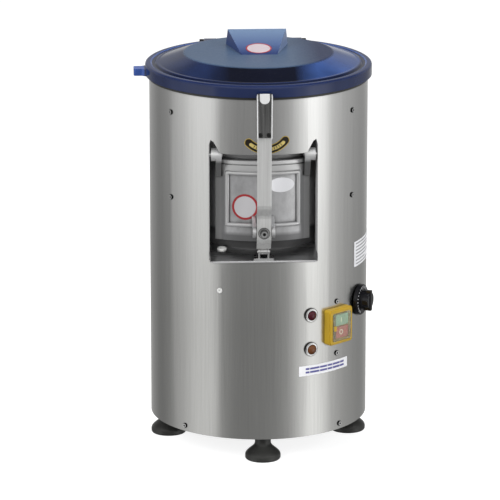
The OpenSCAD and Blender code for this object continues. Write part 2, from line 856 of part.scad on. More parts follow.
// Plain pins pressed in the liner's cheeks, one for each knuckle
module door_hinge_pins() {
    color("silver") both_sides() translate([0, hinge_y, hinge_z])
        rod_x(door_pin_r, knuckle_in - 2, window_w / 2 + 1.2);
}

// ---- lever ----

module lever_bar() {
    p = eased(bar_path, 3);
    n = len(p) - 1;
    color("silver") difference() {
        union() {
            slab_x(-bar_w / 2, bar_w / 2) polygon(concat(
                [for (i = [0:n]) edge_corner(p, i, bar_t / 2)],
                [for (i = [0:n]) edge_corner(p, n - i, -bar_t / 2)]));
            translate([0, tail[0], tail[1]]) rod_x(bar_t / 2 - 0.02, -bar_w / 2, bar_w / 2);
        }
        translate([0, 0, pivot_z]) rod_y(4.2, bar_lower_y - bar_t, pivot_y);
        for (x = [-1, 1]) translate([x * rivet_x, 0, handle_z + 5])
            rod_y(rivet_r, -bar_front_r - bar_t, -bar_front_r + bar_t);
    }
}

// A channel open to the front, wider at its top, with a finger scoop in its upper end
module lever_handle() {
    low_w = bar_w + 1.5;
    scoop_h = 16;
    y0 = handle_y - handle_d;
    color("silver") difference() {
        slab_y(y0, handle_y) polygon([
            [-low_w / 2, handle_z], [low_w / 2, handle_z],
            [handle_w / 2, handle_z + handle_l - 3], [handle_w / 2 - 1, handle_z + handle_l],
            [-handle_w / 2 + 1, handle_z + handle_l], [-handle_w / 2, handle_z + handle_l - 3]
        ]);
        slab_y(y0 - cut, handle_y - handle_t) difference() {
            polygon([
                [-low_w / 2 + handle_t, handle_z - cut], [low_w / 2 - handle_t, handle_z - cut],
                [handle_w / 2 - handle_t, handle_z + handle_l + cut],
                [-handle_w / 2 + handle_t, handle_z + handle_l + cut]
            ]);
            translate([0, handle_z + handle_l - scoop_h + 8]) circle(r = 8.5, $fn = 48);
            translate([-8.5, handle_z + handle_l - scoop_h + 8]) square([17, scoop_h]);
        }
        translate([0, y0 - 3, handle_z + handle_l + 6]) rotate([-28, 0, 0])
            translate([-handle_w / 2 + handle_t, -20, -40]) cube([handle_w - 2 * handle_t, 20, 60]);
        for (x = [-1, 1]) translate([x * rivet_x, 0, handle_z + 5])
            rod_y(rivet_r, handle_y - handle_t - cut, handle_y + cut);
    }
}

// Two dark rivets join the handle to the bar
module lever_rivets() {
    back = -bar_front_r + bar_t / 2;
    color([0.2, 0.2, 0.2]) for (x = [-1, 1]) translate([x * rivet_x, 0, handle_z + 5]) {
        rod_y(rivet_r - run_gap, handle_y - handle_t - 1, back + 1);
        rod_y(rivet_r + 1.2, handle_y - handle_t - 2, handle_y - handle_t);
        rod_y(rivet_r + 1.2, back, back + 1.5);
    }
}

// The pivot: a cross barrel with a flat for the bar and a journal at each end
module lever_barrel() {
    half = bar_w / 2;
    color("silver") translate([0, pivot_y, pivot_z]) difference() {
        union() {
            rod_x(barrel_r, -half, half);
            rod_x(pivot_r, -lug_x - lug_t - 1, lug_x + lug_t + 1);
        }
        translate([-half - side_gap / 2, -barrel_flat - 10, -15])
            cube([2 * half + side_gap, 10, 30]);
        rod_y(4, -20, 5);
    }
}

// The clamping screw, with a washer and a hex socket in its head
module lever_screw() {
    front = bar_lower_y - bar_t / 2;
    head_h = 8;
    color("silver") translate([0, 0, pivot_z]) difference() {
        union() {
            rod_y(4 - run_gap, front, pivot_y + 4);
            rod_y(10, front - 1.6, front);
            rod_y(6.5, front - 1.6 - head_h, front - 1);
        }
        translate([0, front - head_h, 0]) rotate([90, 0, 0]) cylinder(h = 10, r = 3.5, $fn = 6);
    }
}

// ---- lid ----

// The hood's wedge, grown or shrunk by a wall
module hood_wedge(wall) {
    back_y = hood_front_y + hood_l;
    slope = atan(hood_h / hood_l);
    flare = atan((hood_back_w - hood_front_w) / 2 / hood_l);
    draft = 4;
    sink = wall == 0 ? 1 : lid_t + 1;
    difference() {
        slab_x(-hood_back_w, hood_back_w) polygon([
            [hood_front_y + wall / sin(slope) - sink / tan(slope), disc_z - sink],
            [back_y - wall, disc_z + hood_h - wall], [back_y + 4 - wall, disc_z],
            [back_y + 4 - wall, disc_z - sink]
        ]);
        both_sides() translate([hood_front_w / 2 - wall, hood_front_y, disc_z])
            rotate([0, 0, -flare]) rotate([0, -draft, 0])
                translate([0, -60, -60]) cube([100, 240, 140]);
    }
}

// The lid's ears run out from its rim to the hinge axis
module lid_ears() {
    difference() {
        both_sides() slab_x(lid_ear_x, lid_ear_out) {
            translate([lid_axis_y, lid_axis_z]) circle(r = lid_ear_r, $fn = 64);
            polygon([
                [lid_r * 0.76, lid_z + 1], [lid_axis_y, lid_axis_z - lid_ear_r],
                [lid_axis_y, lid_axis_z + lid_ear_r], [lid_r * 0.76, lid_top - 2]
            ]);
        }
        cylinder(h = lid_top + 20, r = lid_r - lid_t / 2);
        translate([0, lid_axis_y, lid_axis_z])
            rod_x(lid_pin_r + run_gap, -lid_ear_out - 20, lid_ear_out + 20);
    }
}

// The lifting tab is hollow below, and its root spreads into the rim
module lid_tab() {
    z0 = lid_z - 1;
    out = lid_r + tab_l;
    half = tab_w / 2;
    r = 4;
    at_az(-90) difference() {
        translate([0, 0, z0]) linear_extrude(tab_h) {
            translate([-half, -out + r]) square([tab_w, tab_l + 20 - r]);
            translate([-half + r, -out]) square([tab_w - 2 * r, 2 * r]);
            for (x = [-1, 1]) translate([x * (half - r), -out + r]) circle(r = r, $fn = 32);
            polygon([[-half - 7, -lid_r + 3], [-half, -lid_r - 6], [half, -lid_r - 6],
                [half + 7, -lid_r + 3]]);
        }
        translate([-half + lid_t, -out + lid_t, z0 - cut])
            cube([tab_w - 2 * lid_t, tab_l - lid_t - 1, tab_h - lid_t + cut]);
        cylinder(h = lid_top + 20, r = lid_r - lid_t / 2);
    }
}

module lid() {
    rib_out = edging_out - 1.6;
    rib_in = rib_out - 3;
    in_r = lid_r - lid_t;
    t = lid_t;
    rib_z = edging_top + seat_gap;
    color([0.1, 0.2, 0.5, 0.8]) {
        difference() {
            union() {
                rotate_extrude() polygon([
                    [lid_r, lid_z], [lid_r, lid_top - 4], [lid_r - 0.7, lid_top - 1.8],
                    [lid_r - 2.4, lid_top - 0.5], [lid_r - 4.5, lid_top], [lid_r - 10, lid_top],
                    [lid_r - 12.5, lid_top - 1.8], [lid_r - 16.5, lid_top - 1.8],
                    [lid_r - 19, lid_top + 0.8], [lid_r - 21, lid_top + 1.5],
                    [lid_r - 25, lid_top + 1.5], [lid_disc_r + 3, disc_z - 0.8],
                    [lid_disc_r, disc_z], [0, disc_z], [0, disc_z - t],
                    [lid_disc_r - 1, disc_z - t], [lid_r - 26, lid_top + 1.5 - t],
                    [rib_in, lid_top - 1.6 - t], [rib_in, rib_z], [rib_out, rib_z],
                    [rib_out, lid_top - 1 - t], [in_r, lid_top - 2 - t], [in_r, lid_z]
                ]);
                hood_wedge(0);
            }
            hood_wedge(t);
        }
        lid_ears();
        lid_tab();
    }
}

// Cast lugs bolted to the back of the casing carry the hinge pin
module lid_hinge_lugs() {
    color("silver") difference() {
        both_sides() slab_x(lug_out - lug_w, lug_out) {
            translate([lid_axis_y, lid_axis_z]) circle(r = lid_ear_r, $fn = 64);
            polygon([
                [casing_r * 0.74, lid_z - lug_h], [lid_axis_y - 14, lid_z - lug_h],
                [lid_axis_y + lid_ear_r, lid_axis_z - 8], [lid_axis_y + lid_ear_r, lid_axis_z],
                [lid_axis_y - lid_ear_r, lid_axis_z], [lid_axis_y - lid_ear_r, lid_z - 3],
                [casing_r * 0.74, lid_z - 3]
            ]);
        }
        cylinder(h = lid_top, r = casing_r);
        tube(edging_out + 0.2, casing_r - 5, casing_top - edging_skirt - 0.2, lid_top);
        translate([0, lid_axis_y, lid_axis_z])
            rod_x(lid_pin_r + run_gap, -lid_ear_out - 20, lid_ear_out + 20);
        both_sides() for (z = lug_screw_z) translate([lug_out - lug_w / 2, 0, z])
            rod_y(lug_screw_r + 0.05, 0, casing_r + 4.2);
    }
}

module lid_hinge_pin() {
    color("silver") translate([0, lid_axis_y, lid_axis_z])
        rod_x(lid_pin_r, -lid_ear_out - 6, lid_ear_out + 6);
}

// Black caps on the pin's ends
module lid_hinge_caps() {
    color([0.08, 0.08, 0.08]) both_sides() translate([0, lid_axis_y, lid_axis_z]) difference() {
        rod_x(lid_ear_r - 1, lid_ear_out + 0.5, lid_ear_out + 8);
        rod_x(lid_pin_r + 0.03, lid_ear_out, lid_ear_out + 6.1);
    }
}

// The switch that stops the motor when the lid's tab is lifted off it
module lid_switch() {
    color([0.15, 0.15, 0.16]) at_az(-90) {
        translate([-15, -rim_r + 6, ring_z - ring_t - 22.2]) cube([30, 14, 22]);
        translate([-9, -rim_r + 3, ring_z - ring_t - 18]) cube([18, 4, 12]);
    }
}

// ---- drive ----

module bearing_housing() {
    color([0.45, 0.46, 0.48]) difference() {
        union() {
            translate([0, 0, housing_bottom])
                cylinder(h = floor_bottom - housing_bottom, r = housing_r);
            translate([0, 0, floor_bottom - 12]) cylinder(h = 12, r = housing_flange_r);
            for (i = [0:3]) at_az(90 * i) translate([-4, -housing_flange_r + 4, floor_bottom - 52])
                difference() {
                    cube([8, housing_flange_r - housing_r, 42]);
                    translate([-1, 0, 0]) rotate([-26, 0, 0]) translate([0, -40, -10])
                        cube([10, 40, 60]);
                }
        }
        translate([0, 0, housing_bottom - cut])
            cylinder(h = 120, r = bearing_r - 4);
        translate([0, 0, housing_bottom + 4])
            cylinder(h = bearing_h + 0.2, r = bearing_r);
        translate([0, 0, floor_bottom - 10 - bearing_h])
            cylinder(h = bearing_h + 20, r = bearing_r);
        for (i = [0:3]) at_az(90 * i + 45) translate([0, -housing_bolt_r, floor_bottom - 20])
            cylinder(h = 30, r = bolt_hole_r, $fn = 48);
    }
}

// A ball bearing: two rings with a sunk shield between them
module ball_bearing(z) {
    o = bearing_r - run_gap;
    i = shaft_r + run_gap;
    ring = (o - i) * 0.28;
    translate([0, 0, z]) rotate_extrude() polygon([
        [i, 0], [i + ring, 0], [i + ring, 1], [o - ring, 1], [o - ring, 0], [o, 0],
        [o, bearing_h], [o - ring, bearing_h], [o - ring, bearing_h - 1],
        [i + ring, bearing_h - 1], [i + ring, bearing_h], [i, bearing_h]
    ]);
}

module main_bearings() {
    color("silver") {
        ball_bearing(housing_bottom + 4.1);
        ball_bearing(floor_bottom - 10 - bearing_h + 0.1);
    }
}

module shaft_seal() {
    o = bearing_r - run_gap;
    z = floor_bottom - 9.6;
    color([0.15, 0.1, 0.1]) rotate_extrude() polygon([
        [shaft_r + run_gap, z], [o, z], [o, z + 8], [shaft_r + 6, z + 8],
        [shaft_r + 5, z + 2], [shaft_r + 2, z + 2], [shaft_r + run_gap, z + 6]
    ]);
}

// Bolts that hold the bearing housing and the motor bracket under the floor
module chassis_bolts() {
    color("silver") {
        for (i = [0:3]) at_az(90 * i + 45) translate([0, -housing_bolt_r, floor_bottom]) {
            translate([0, 0, -12 - 5.3]) cylinder(h = 5.3, r = 6.5, $fn = 6);
            translate([0, 0, -13]) cylinder(h = 20, r = bolt_r, $fn = 48);
        }
        for (y = [-1, 1], x = bracket_bolt_x) translate([x, y * bracket_bolt_y, floor_bottom]) {
            translate([0, 0, -bracket_t - 5.3]) cylinder(h = 5.3, r = 6.5, $fn = 6);
            translate([0, 0, -bracket_t - 1]) cylinder(h = bracket_t + 8, r = bolt_r, $fn = 48);
        }
    }
}

module main_shaft() {
    color("silver") {
        translate([0, 0, pulley_z - 2])
            cylinder(h = plate_top - pulley_z + 2, r = shaft_r);
        translate([0, 0, pulley_z - 14]) cylinder(h = 13, r = shaft_r - 3);
        translate([0, 0, plate_top - cut]) cylinder(h = 14 + cut, r = shaft_r - 4);
    }
}

// A pulley with a V groove and a hub, about Z
module pulley(r, bore) {
    mid = pulley_z + pulley_h / 2;
    difference() {
        translate([0, 0, pulley_z]) cylinder(h = pulley_h, r = r);
        rotate_extrude() polygon([
            [r + 1, mid - belt_h / 2 - 1.8], [r - groove_d, mid - belt_h / 2 + 1],
            [r - groove_d, mid + belt_h / 2 - 1], [r + 1, mid + belt_h / 2 + 1.8]
        ]);
        translate([0, 0, pulley_z - cut]) cylinder(h = pulley_h + 2 * cut, r = bore);
    }
}

module main_pulley() {
    hub_r = shaft_r + 10;
    rim_in = pulley_r - groove_d - 6;
    holes = 5;
    hole_r = (rim_in - hub_r) / 2 - 2;
    nut_h = 8;
    color([0.35, 0.35, 0.36]) {
        difference() {
            pulley(pulley_r, shaft_r + 0.03);
            for (z = [pulley_z - cut, pulley_z + pulley_h - 6]) tube(rim_in, hub_r, z, z + 6 + cut);
            for (i = [0:holes - 1]) at_az(i * 360 / holes)
                translate([0, -(rim_in + hub_r) / 2, pulley_z])
                    cylinder(h = pulley_h, r = hole_r, $fn = 48);
        }
        translate([0, 0, pulley_z - nut_h - 2.1]) difference() {
            cylinder(h = nut_h, r = hub_r - 4, $fn = 6);
            translate([0, 0, -cut]) cylinder(h = nut_h + 2 * cut, r = shaft_r - 3 + 0.03);
        }
    }
}

// The plate: a disc with a hub, a skirt over the floor's collar and sweeping vanes
module peeling_plate() {
    vane_h = 12;
    color([0.66, 0.66, 0.67]) difference() {
        union() {
            translate([0, 0, plate_z]) cylinder(h = plate_t, r = plate_r);
            translate([0, 0, floor_z + 4]) cylinder(h = plate_z - floor_z - 3, r = shaft_r + 8);
            tube(shaft_r + 20, shaft_r + 17, floor_z + 6, plate_z + cut);
            for (i = [0:3]) at_az(90 * i + 20) translate([-2, -plate_r + 6, plate_z - vane_h])
                cube([4, plate_r - shaft_r - 24, vane_h + cut]);
        }
        translate([0, 0, floor_z]) cylinder(h = plate_z - floor_z + plate_t + cut, r = shaft_r + 0.03);
    }
}

// The abrasive coat: long radial waves cast on a round pad
module plate_abrasive() {
    waves = 6;
    r = plate_r - 1;
    long = 2 * wave_h;
    color([0.22, 0.22, 0.23]) difference() {
        intersection() {
            union() {
                translate([0, 0, grit_z]) cylinder(h = grit_t, r = r);
                for (i = [0:waves - 1]) at_az(i * 360 / waves)
                    translate([0, -24, grit_z + grit_t - long + wave_h])
                        rod_y(long, -r - 1 + 24, 0);
            }
            translate([0, 0, grit_z]) cylinder(h = grit_t + wave_h, r = r);
        }
        translate([0, 0, grit_z - cut]) cylinder(h = grit_t + wave_h + 2 * cut, r = plate_cap_r + 0.5);
    }
}

// The cap nut that holds the plate down
module plate_nut() {
    base = plate_top + 0.05;
    color("silver") difference() {
        union() {
            translate([0, 0, base]) cylinder(h = 14, r = plate_cap_r);
            translate([0, 0, base + 14]) intersection() {
                translate([0, 0, -18]) sphere(r = sqrt(plate_cap_r * plate_cap_r + 18 * 18));
                cylinder(h = 20, r = plate_cap_r);
            }
        }
        translate([0, 0, base - cut]) cylinder(h = 14.2 + cut, r = shaft_r - 4 + 0.03);
    }
}

// The motor: a finned body, bored for its shaft, with feet towards the bracket
module motor_body() {
    fins = 20;
    color([0.3, 0.33, 0.38]) difference() {
        union() {
            translate([-motor_x, 0, motor_z]) cylinder(h = motor_l, r = motor_r);
            translate([-motor_x, 0, motor_z]) cylinder(h = 8, r = motor_r + 3);
            translate([-motor_x, 0, motor_top - 8]) cylinder(h = 8, r = motor_r + 3);
            translate([-motor_x, 0, motor_z + 7]) linear_extrude(motor_l - 14)
                for (i = [0:fins - 1]) rotate(i * 360 / fins + 9)
                    translate([motor_r - 3, -1.2]) square([10, 2.4]);
            for (y = [-1, 1]) translate([bracket_x - 22, y * 34 - 7, motor_z + 20])
                cube([22, 14, motor_l - 40]);
            translate([-motor_x - 30, motor_r - 6, motor_z + 40]) cube([60, 32, 56]);
        }
        translate([-motor_x, 0, motor_z - cut])
            cylinder(h = motor_l + 2 * cut, r = motor_shaft_r + run_gap);
    }
}

// The fan's cowl on top of the motor, slotted for air
module motor_cowl() {
    h = 32;
    slots = 12;
    color([0.25, 0.27, 0.3]) translate([-motor_x, 0, motor_top]) difference() {
        cylinder(h = h, r = motor_r + 4);
        translate([0, 0, -cut]) cylinder(h = h - 1.5 + cut, r = motor_r + 2.5);
        for (i = [0:slots - 1]) rotate(i * 360 / slots) translate([20, -2, h - 5])
            cube([26, 4, 10]);
    }
}

// A folded bracket: a flange under the drum floor and a cheek for the motor's feet
module motor_bracket() {
    flange_l = 92;
    half = 58;
    web_bottom = motor_z + 14;
    color([0.4, 0.4, 0.42]) difference() {
        union() {
            translate([bracket_x - flange_l, -half, floor_bottom - bracket_t])
                cube([flange_l + bracket_t, 2 * half, bracket_t]);
            translate([bracket_x, -half, web_bottom])
                cube([bracket_t, 2 * half, floor_bottom - web_bottom]);
            for (y = [-half, half - 4]) slab_y(y, y + 4) polygon([
                [bracket_x - 40, floor_bottom - bracket_t + cut],
                [bracket_x + cut, floor_bottom - bracket_t + cut],
                [bracket_x + cut, floor_bottom - 20]
            ]);
        }
        for (y = [-1, 1], x = bracket_bolt_x) translate([x, y * bracket_bolt_y, floor_bottom - 20])
            cylinder(h = 30, r = bolt_hole_r, $fn = 48);
        cylinder(h = floor_bottom + cut, r = housing_flange_r + 2);
    }
}

module motor_shaft() {
    fan_r = motor_r - 6;
    hub_r = motor_shaft_r + 6;
    blades = 6;
    color("silver") translate([-motor_x, 0, 0]) {
        translate([0, 0, pulley_z - 3]) cylinder(h = motor_top + 20 - pulley_z, r = motor_shaft_r);
        translate([0, 0, motor_top + 6]) linear_extrude(14) {
            circle(r = hub_r);
            for (i = [0:blades - 1]) rotate(i * 360 / blades)
                translate([hub_r - 2, -1]) square([fan_r - hub_r, 2]);
        }
    }
}

module motor_pulley() {
    color([0.35, 0.35, 0.36]) translate([-motor_x, 0, 0]) pulley(motor_pulley_r, motor_shaft_r + 0.03);
}

// The outline of a belt that runs on two wheels
module belt_outline(r1, r2) {
    b = asin((r1 - r2) / motor_x);
    bite = 0.04;
    big = (r1 - bite) * [-sin(b), cos(b)];
    small = (r2 - bite) * [-sin(b), cos(b)] - [motor_x, 0];
    circle(r = r1);
    translate([-motor_x, 0]) circle(r = r2);
    polygon([big, small, [small[0], -small[1]], [big[0], -big[1]]]);
}

module drive_belt() {
    deep = groove_d - 0.5;
    color([0.1, 0.1, 0.1]) translate([0, 0, pulley_z + (pulley_h - belt_h) / 2 + 1])
        linear_extrude(belt_h - 2) difference() {
            belt_outline(pulley_r - deep + belt_t, motor_pulley_r - deep + belt_t);
            belt_outline(pulley_r - deep, motor_pulley_r - deep);
        }
}

// The motor's run capacitor, in a cup on the base plate
module capacitor() {
    can_r = 20;
    can_h = 78;
    color([0.85, 0.85, 0.83]) translate([drain_y * 0.53, drain_y * 0.89, base_top]) {
        cylinder(h = can_h, r = can_r);
        cylinder(h = 8, r = can_r + 4);
        for (x = [-1, 1]) translate([x * can_r / 3, 0, can_h - 1])
            cylinder(h = 9, r = 3, $fn = 32);
    }
}

// ---- water and cable ----

// A flanged elbow from the drum floor out through the back, ending in a spigot
module drain_elbow() {
    r = drain_r - 1;
    inner = drain_r - drain_t - 1;
    elbow_z = drain_z + bend_r;
    color([0.5, 0.5, 0.52]) difference() {
        union() {
            translate([0, drain_y, floor_bottom - 6]) cylinder(h = 6, r = drain_r + 10);
            translate([0, drain_y, elbow_z]) cylinder(h = floor_bottom - elbow_z, r = r);
            translate([0, drain_y + bend_r, elbow_z]) mirror([0, 0, 1])
                rotate([90, 0, -90]) rotate_extrude(angle = 90)
                    translate([bend_r, 0]) circle(r = r, $fn = 64);
            translate([0, 0, drain_z]) rod_y(r, drain_y + bend_r, spigot_y);
            translate([0, 0, drain_z]) rod_y(drain_r, spigot_y, spigot_y + 27);
        }
        translate([0, drain_y, elbow_z]) cylinder(h = floor_bottom - elbow_z + cut, r = inner);
        translate([0, drain_y + bend_r, elbow_z]) mirror([0, 0, 1])
            rotate([90, 0, -90]) rotate_extrude(angle = 90)
                translate([bend_r, 0]) circle(r = inner, $fn = 64);
        translate([0, 0, drain_z]) rod_y(inner, drain_y + bend_r, spigot_y + 28);
    }
}

// A rubber bush round the drain, where it leaves the casing
module drain_bush() {
    color([0.08, 0.08, 0.08]) translate([0, 0, drain_z]) difference() {
        rod_y(drain_r + 2.8, casing_in - 8, casing_r + 5);
        rod_y(drain_r - 1 + 0.1, casing_in - 9, casing_r + 6);
    }
}

// A threaded connector outside, a pipe through both walls and a nozzle that sprays down
module water_inlet() {
    tip = drum_r - 12;
    color([0.75, 0.62, 0.3]) at_az(inlet_az, inlet_z) difference() {
        union() {
            rod_y(inlet_pipe_r, -casing_r - 2, -tip);
            translate([0, -casing_r - 0.3, 0]) rotate([90, 0, 0])
                cylinder(h = 6, r = inlet_r + 4, $fn = 6);
            rod_y(inlet_r, -casing_r - 24, -casing_r - 6.3);
            translate([0, -tip, 0]) sphere(r = inlet_pipe_r, $fn = 48);
        }
        rod_y(7, -casing_r - 25, -tip - 2);
        translate([0, -tip - 1, -20]) cylinder(h = 20, r = bolt_r, $fn = 48);
    }
}

// A cable gland: thread, hexagon and a domed nut. The nut's bore grips the cable, and the
// passage behind it is a little wider
module cable_gland() {
    color([0.12, 0.12, 0.13]) at_az(gland_az, gland_z) difference() {
        union() {
            rod_y(gland_thread_r, -casing_r - 1, -casing_in + 10);
            translate([0, -casing_r - 0.3, 0]) rotate([90, 0, 0])
                cylinder(h = 6, r = 12, $fn = 6);
            rod_y(10, -casing_r - 18, -casing_r - 6);
            rod_y(7.5, -casing_r - 22, -casing_r - 17.5);
        }
        rod_y(gland_bore_r, -casing_r - 23, -casing_r - 3);
        rod_y(gland_bore_r + 0.7, -casing_r - 4, -casing_in + 11);
    }
}

// ---- controls ----

// The switch's frame seats on the curve of the casing
module switch_frame() {
    color([0.93, 0.75, 0.1]) at_az(switch_az, switch_z) difference() {
        union() {
            slab_y(switch_front + 2, -casing_r + 8) round_rect(switch_w, switch_h, 5);
            slab_y(switch_front, switch_front + 2.1) round_rect(switch_w - 3, switch_h - 3, 4);
        }
        slab_y(switch_front - cut, switch_floor) round_rect(switch_w - 13, switch_h - 13, 3);
        for (z = [-1, 1]) translate([0, 0, z * button_pitch])
            rod_y(spindle_r + 1, switch_floor - cut, -casing_r + 20);
        translate([0, 0, -switch_z]) cylinder(h = casing_top, r = casing_r + 0.05);
    }
}

// A clear cover in front of the buttons
module switch_cover() {
    w = switch_w - 13.6;
    h = switch_h - 13.6;
    color([0.9, 0.9, 0.8, 0.4]) at_az(switch_az, switch_z) difference() {
        slab_y(switch_front - 2.5, switch_front + 1) round_rect(w, h, 3);
        slab_y(switch_front - 1.3, switch_front + 2) round_rect(w - 2.4, h - 2.4, 2);
    }
}

// The contact block behind the casing, on the strap that its two screws hold
module switch_body() {
    strap_w = 16;
    color([0.2, 0.2, 0.21]) at_az(switch_az, switch_z) difference() {
        union() {
            slab_y(-casing_in + 3, -casing_in + 42) round_rect(switch_w - 14.6, switch_h - 14.6, 3);
            translate([-strap_w / 2, -casing_in + 3, switch_screw_z[0] - strap_w / 2 - switch_z])
                cube([strap_w, 2, switch_screw_z[1] - switch_screw_z[0] + strap_w]);
        }
        for (z = [-1, 1]) translate([0, 0, z * button_pitch])
            rod_y(spindle_r + 1, -casing_in, -casing_in + 16);
        for (z = switch_screw_z) translate([0, 0, z - switch_z]) rod_y(screw_r, -casing_r, 0);
    }
}

// A push button with its stem, above or below the switch's middle
module button(z) {
    at_az(switch_az, switch_z + z) {
        slab_y(button_front, button_front + button_t) round_rect(button_w, button_h, 3);
        rod_y(spindle_r, button_front + 1, -casing_in + 8);
    }
}

module start_button() {
    color([0.1, 0.55, 0.45]) button(button_pitch);
}

module stop_button() {
    color([0.85, 0.2, 0.25]) button(-button_pitch);
}

// Chrome bezels, each with the lamp's body and its back nut
module lamp_bezels() {
    color("silver") for (z = [0, lamp_gap]) at_az(lamp_az, lamp_z + z) difference() {
        union() {
            rod_y(bezel_r, -casing_r - 3, -casing_r - 0.05);
            rod_y(bezel_r - 2, -casing_r - 5, -casing_r - 2);
            rod_y(lamp_body_r, -casing_r - 1, -casing_r + 34);
            translate([0, -casing_in + 5, 0]) rotate([90, 0, 0])
                cylinder(h = 4, r = lamp_body_r + 4, $fn = 6);
        }
        rod_y(bezel_r - 4, -casing_r - 6, -casing_r - 1);
    }
}

// A domed lens in a lamp's bezel
module lens(z) {
    r = bezel_r - 4.1;
    at_az(lamp_az, lamp_z + z) {
        rod_y(r, -casing_r - 5, -casing_r - 1.05);
        intersection() {
            translate([0, -casing_r - 5 + r * 0.9, 0]) sphere(r = r * 1.35, $fn = 48);
            rod_y(r, -casing_r - 10, -casing_r - 4);
        }
    }
}

module red_lens() {
    color([0.4, 0.05, 0.03]) lens(lamp_gap);
}

module amber_lens() {
    color([0.45, 0.2, 0.05]) lens(0);
}

// The knob: a skirt, a round grip with a finger bar, and its spindle
module timer_knob() {
    back = -casing_r - knob_stand;
    color([0.08, 0.08, 0.09]) at_az(timer_az, timer_z) {
        rod_y(knob_r, back - 5, back);
        rod_y(knob_r - 1.5, back - 7, back - 4);
        rod_y(grip_r + 2, back - 10, back - 6);
        rod_y(grip_r, back - 22, back - 9);
        translate([-3.5, back - 23.5, -grip_r - 4]) cube([7, 14, 2 * grip_r + 8]);
        rod_y(spindle_r, back - 1, -casing_in + 14);
    }
}

// The clockwork timer behind the casing
module timer_body() {
    color([0.75, 0.75, 0.72]) at_az(timer_az, timer_z) difference() {
        union() {
            slab_y(-casing_in + 8, -casing_in + 40) round_rect(44, 44, 4);
            rod_y(spindle_r + 2.5, -casing_in + 2, -casing_in + 9);
            both_sides() translate([14, -casing_in + 1.5, -4]) cube([6, 8, 8]);
        }
        rod_y(spindle_r + run_gap, -casing_in, -casing_in + 16);
    }
}

// ---- the parts ----

casing();
base_plate();
feet();
foot_screws();
casing_screws();
top_ring();
rim_edging();
drum();
drum_lining();
drum_floor();
drum_stays();
port_frame();
recess_liner();
chute();
chute_plug();
latch_catch();
latch_roller();
door_hinge_pins();
door();
door_seal();
lever_bar();
lever_handle();
lever_rivets();
lever_barrel();
lever_screw();
lid();
lid_hinge_lugs();
lid_hinge_pin();
lid_hinge_caps();
lid_switch();
bearing_housing();
main_bearings();
shaft_seal();
chassis_bolts();
main_shaft();
main_pulley();
peeling_plate();
plate_abrasive();
plate_nut();
motor_body();
motor_cowl();
motor_bracket();
motor_shaft();
motor_pulley();
drive_belt();
capacitor();
drain_elbow();
drain_bush();
water_inlet();
cable_gland();
switch_frame();
switch_cover();
switch_body();
start_button();
stop_button();
lamp_bezels();
red_lens();
amber_lens();
timer_knob();
timer_body();
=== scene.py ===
"""Looks of the electric potato peeler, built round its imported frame. Metres, Z up."""
import json
import math

import bmesh
import bpy
from mathutils import Matrix, Vector


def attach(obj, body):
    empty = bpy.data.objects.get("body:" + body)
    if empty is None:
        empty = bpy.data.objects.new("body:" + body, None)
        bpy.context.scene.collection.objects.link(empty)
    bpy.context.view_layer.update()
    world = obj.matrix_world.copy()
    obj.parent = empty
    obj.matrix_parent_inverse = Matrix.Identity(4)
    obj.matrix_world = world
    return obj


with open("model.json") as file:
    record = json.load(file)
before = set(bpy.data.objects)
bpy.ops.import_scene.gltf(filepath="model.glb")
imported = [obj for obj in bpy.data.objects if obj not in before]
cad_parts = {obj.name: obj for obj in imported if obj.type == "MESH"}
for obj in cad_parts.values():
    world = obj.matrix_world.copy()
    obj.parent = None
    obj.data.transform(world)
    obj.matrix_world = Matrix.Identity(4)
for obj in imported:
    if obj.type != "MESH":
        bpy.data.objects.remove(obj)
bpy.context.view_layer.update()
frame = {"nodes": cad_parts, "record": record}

# ---- sizes and places on the machine, in millimetres and degrees ----

MM = 0.001
CASING_R = 190
PANEL_R = 156.9                       # outside of the door's sunk panel
DISC_Z = 688.5                        # the lid's flat disc
HOOD_FRONT_Y, HOOD_L, HOOD_H = -28, 85, 27.5
SWITCH_AZ, SWITCH_Z = 42.5, 234
COVER_FRONT, BUTTON_FRONT = 204.5, 200
LAMP_AZ, LAMP_Z, LAMP_APART = 25.5, 230.5, 30.5     # one lamp above this height, one below
KNOB_AZ, KNOB_Z = 64, 263
FLANGE_FRONT, SCALE_R = 197.8, 22.5
HANDLE_Z, HANDLE_L = 584, 77
HANDLE_FRONT, HANDLE_WEB = 214.5, 207.5
LEVER_SCREW_Z = 414

# Thin pieces: how thick a film is, how far its front stands out, and each layer more.
FILM, FILM_FRONT, FILM_STEP = 0.1, 0.18, 0.12
CLEAR = 0.05
TICK_W = 1.1
SHARP = 40                            # two faces that meet at more than this keep a hard edge

# Stretch of a noise along X, Y and Z: the smaller the number, the longer the streak.
UPRIGHT = (1, 1, 0.012)
ACROSS = (0.03, 1, 1)
CLOUDS = (1, 1, 0.35)


# ---- colours, as the linear RGBA that a socket takes ----

def linear(value):
    """A display level from 0 to 255 as a linear one."""
    value /= 255
    return value / 12.92 if value <= 0.04045 else ((value + 0.055) / 1.055) ** 2.4


def tone(red, green, blue):
    """A colour from its display levels."""
    return (linear(red), linear(green), linear(blue), 1)


def grey(level, blue=0.0):
    """A grey of a linear level, with a little more or less blue."""
    return (level, level, level + blue, 1)


# ---- materials ----

MIX_IN, MIX_OUT = (0, 6, 7), 2        # a colour mix's factor, first and second, and its result
finishes = {}


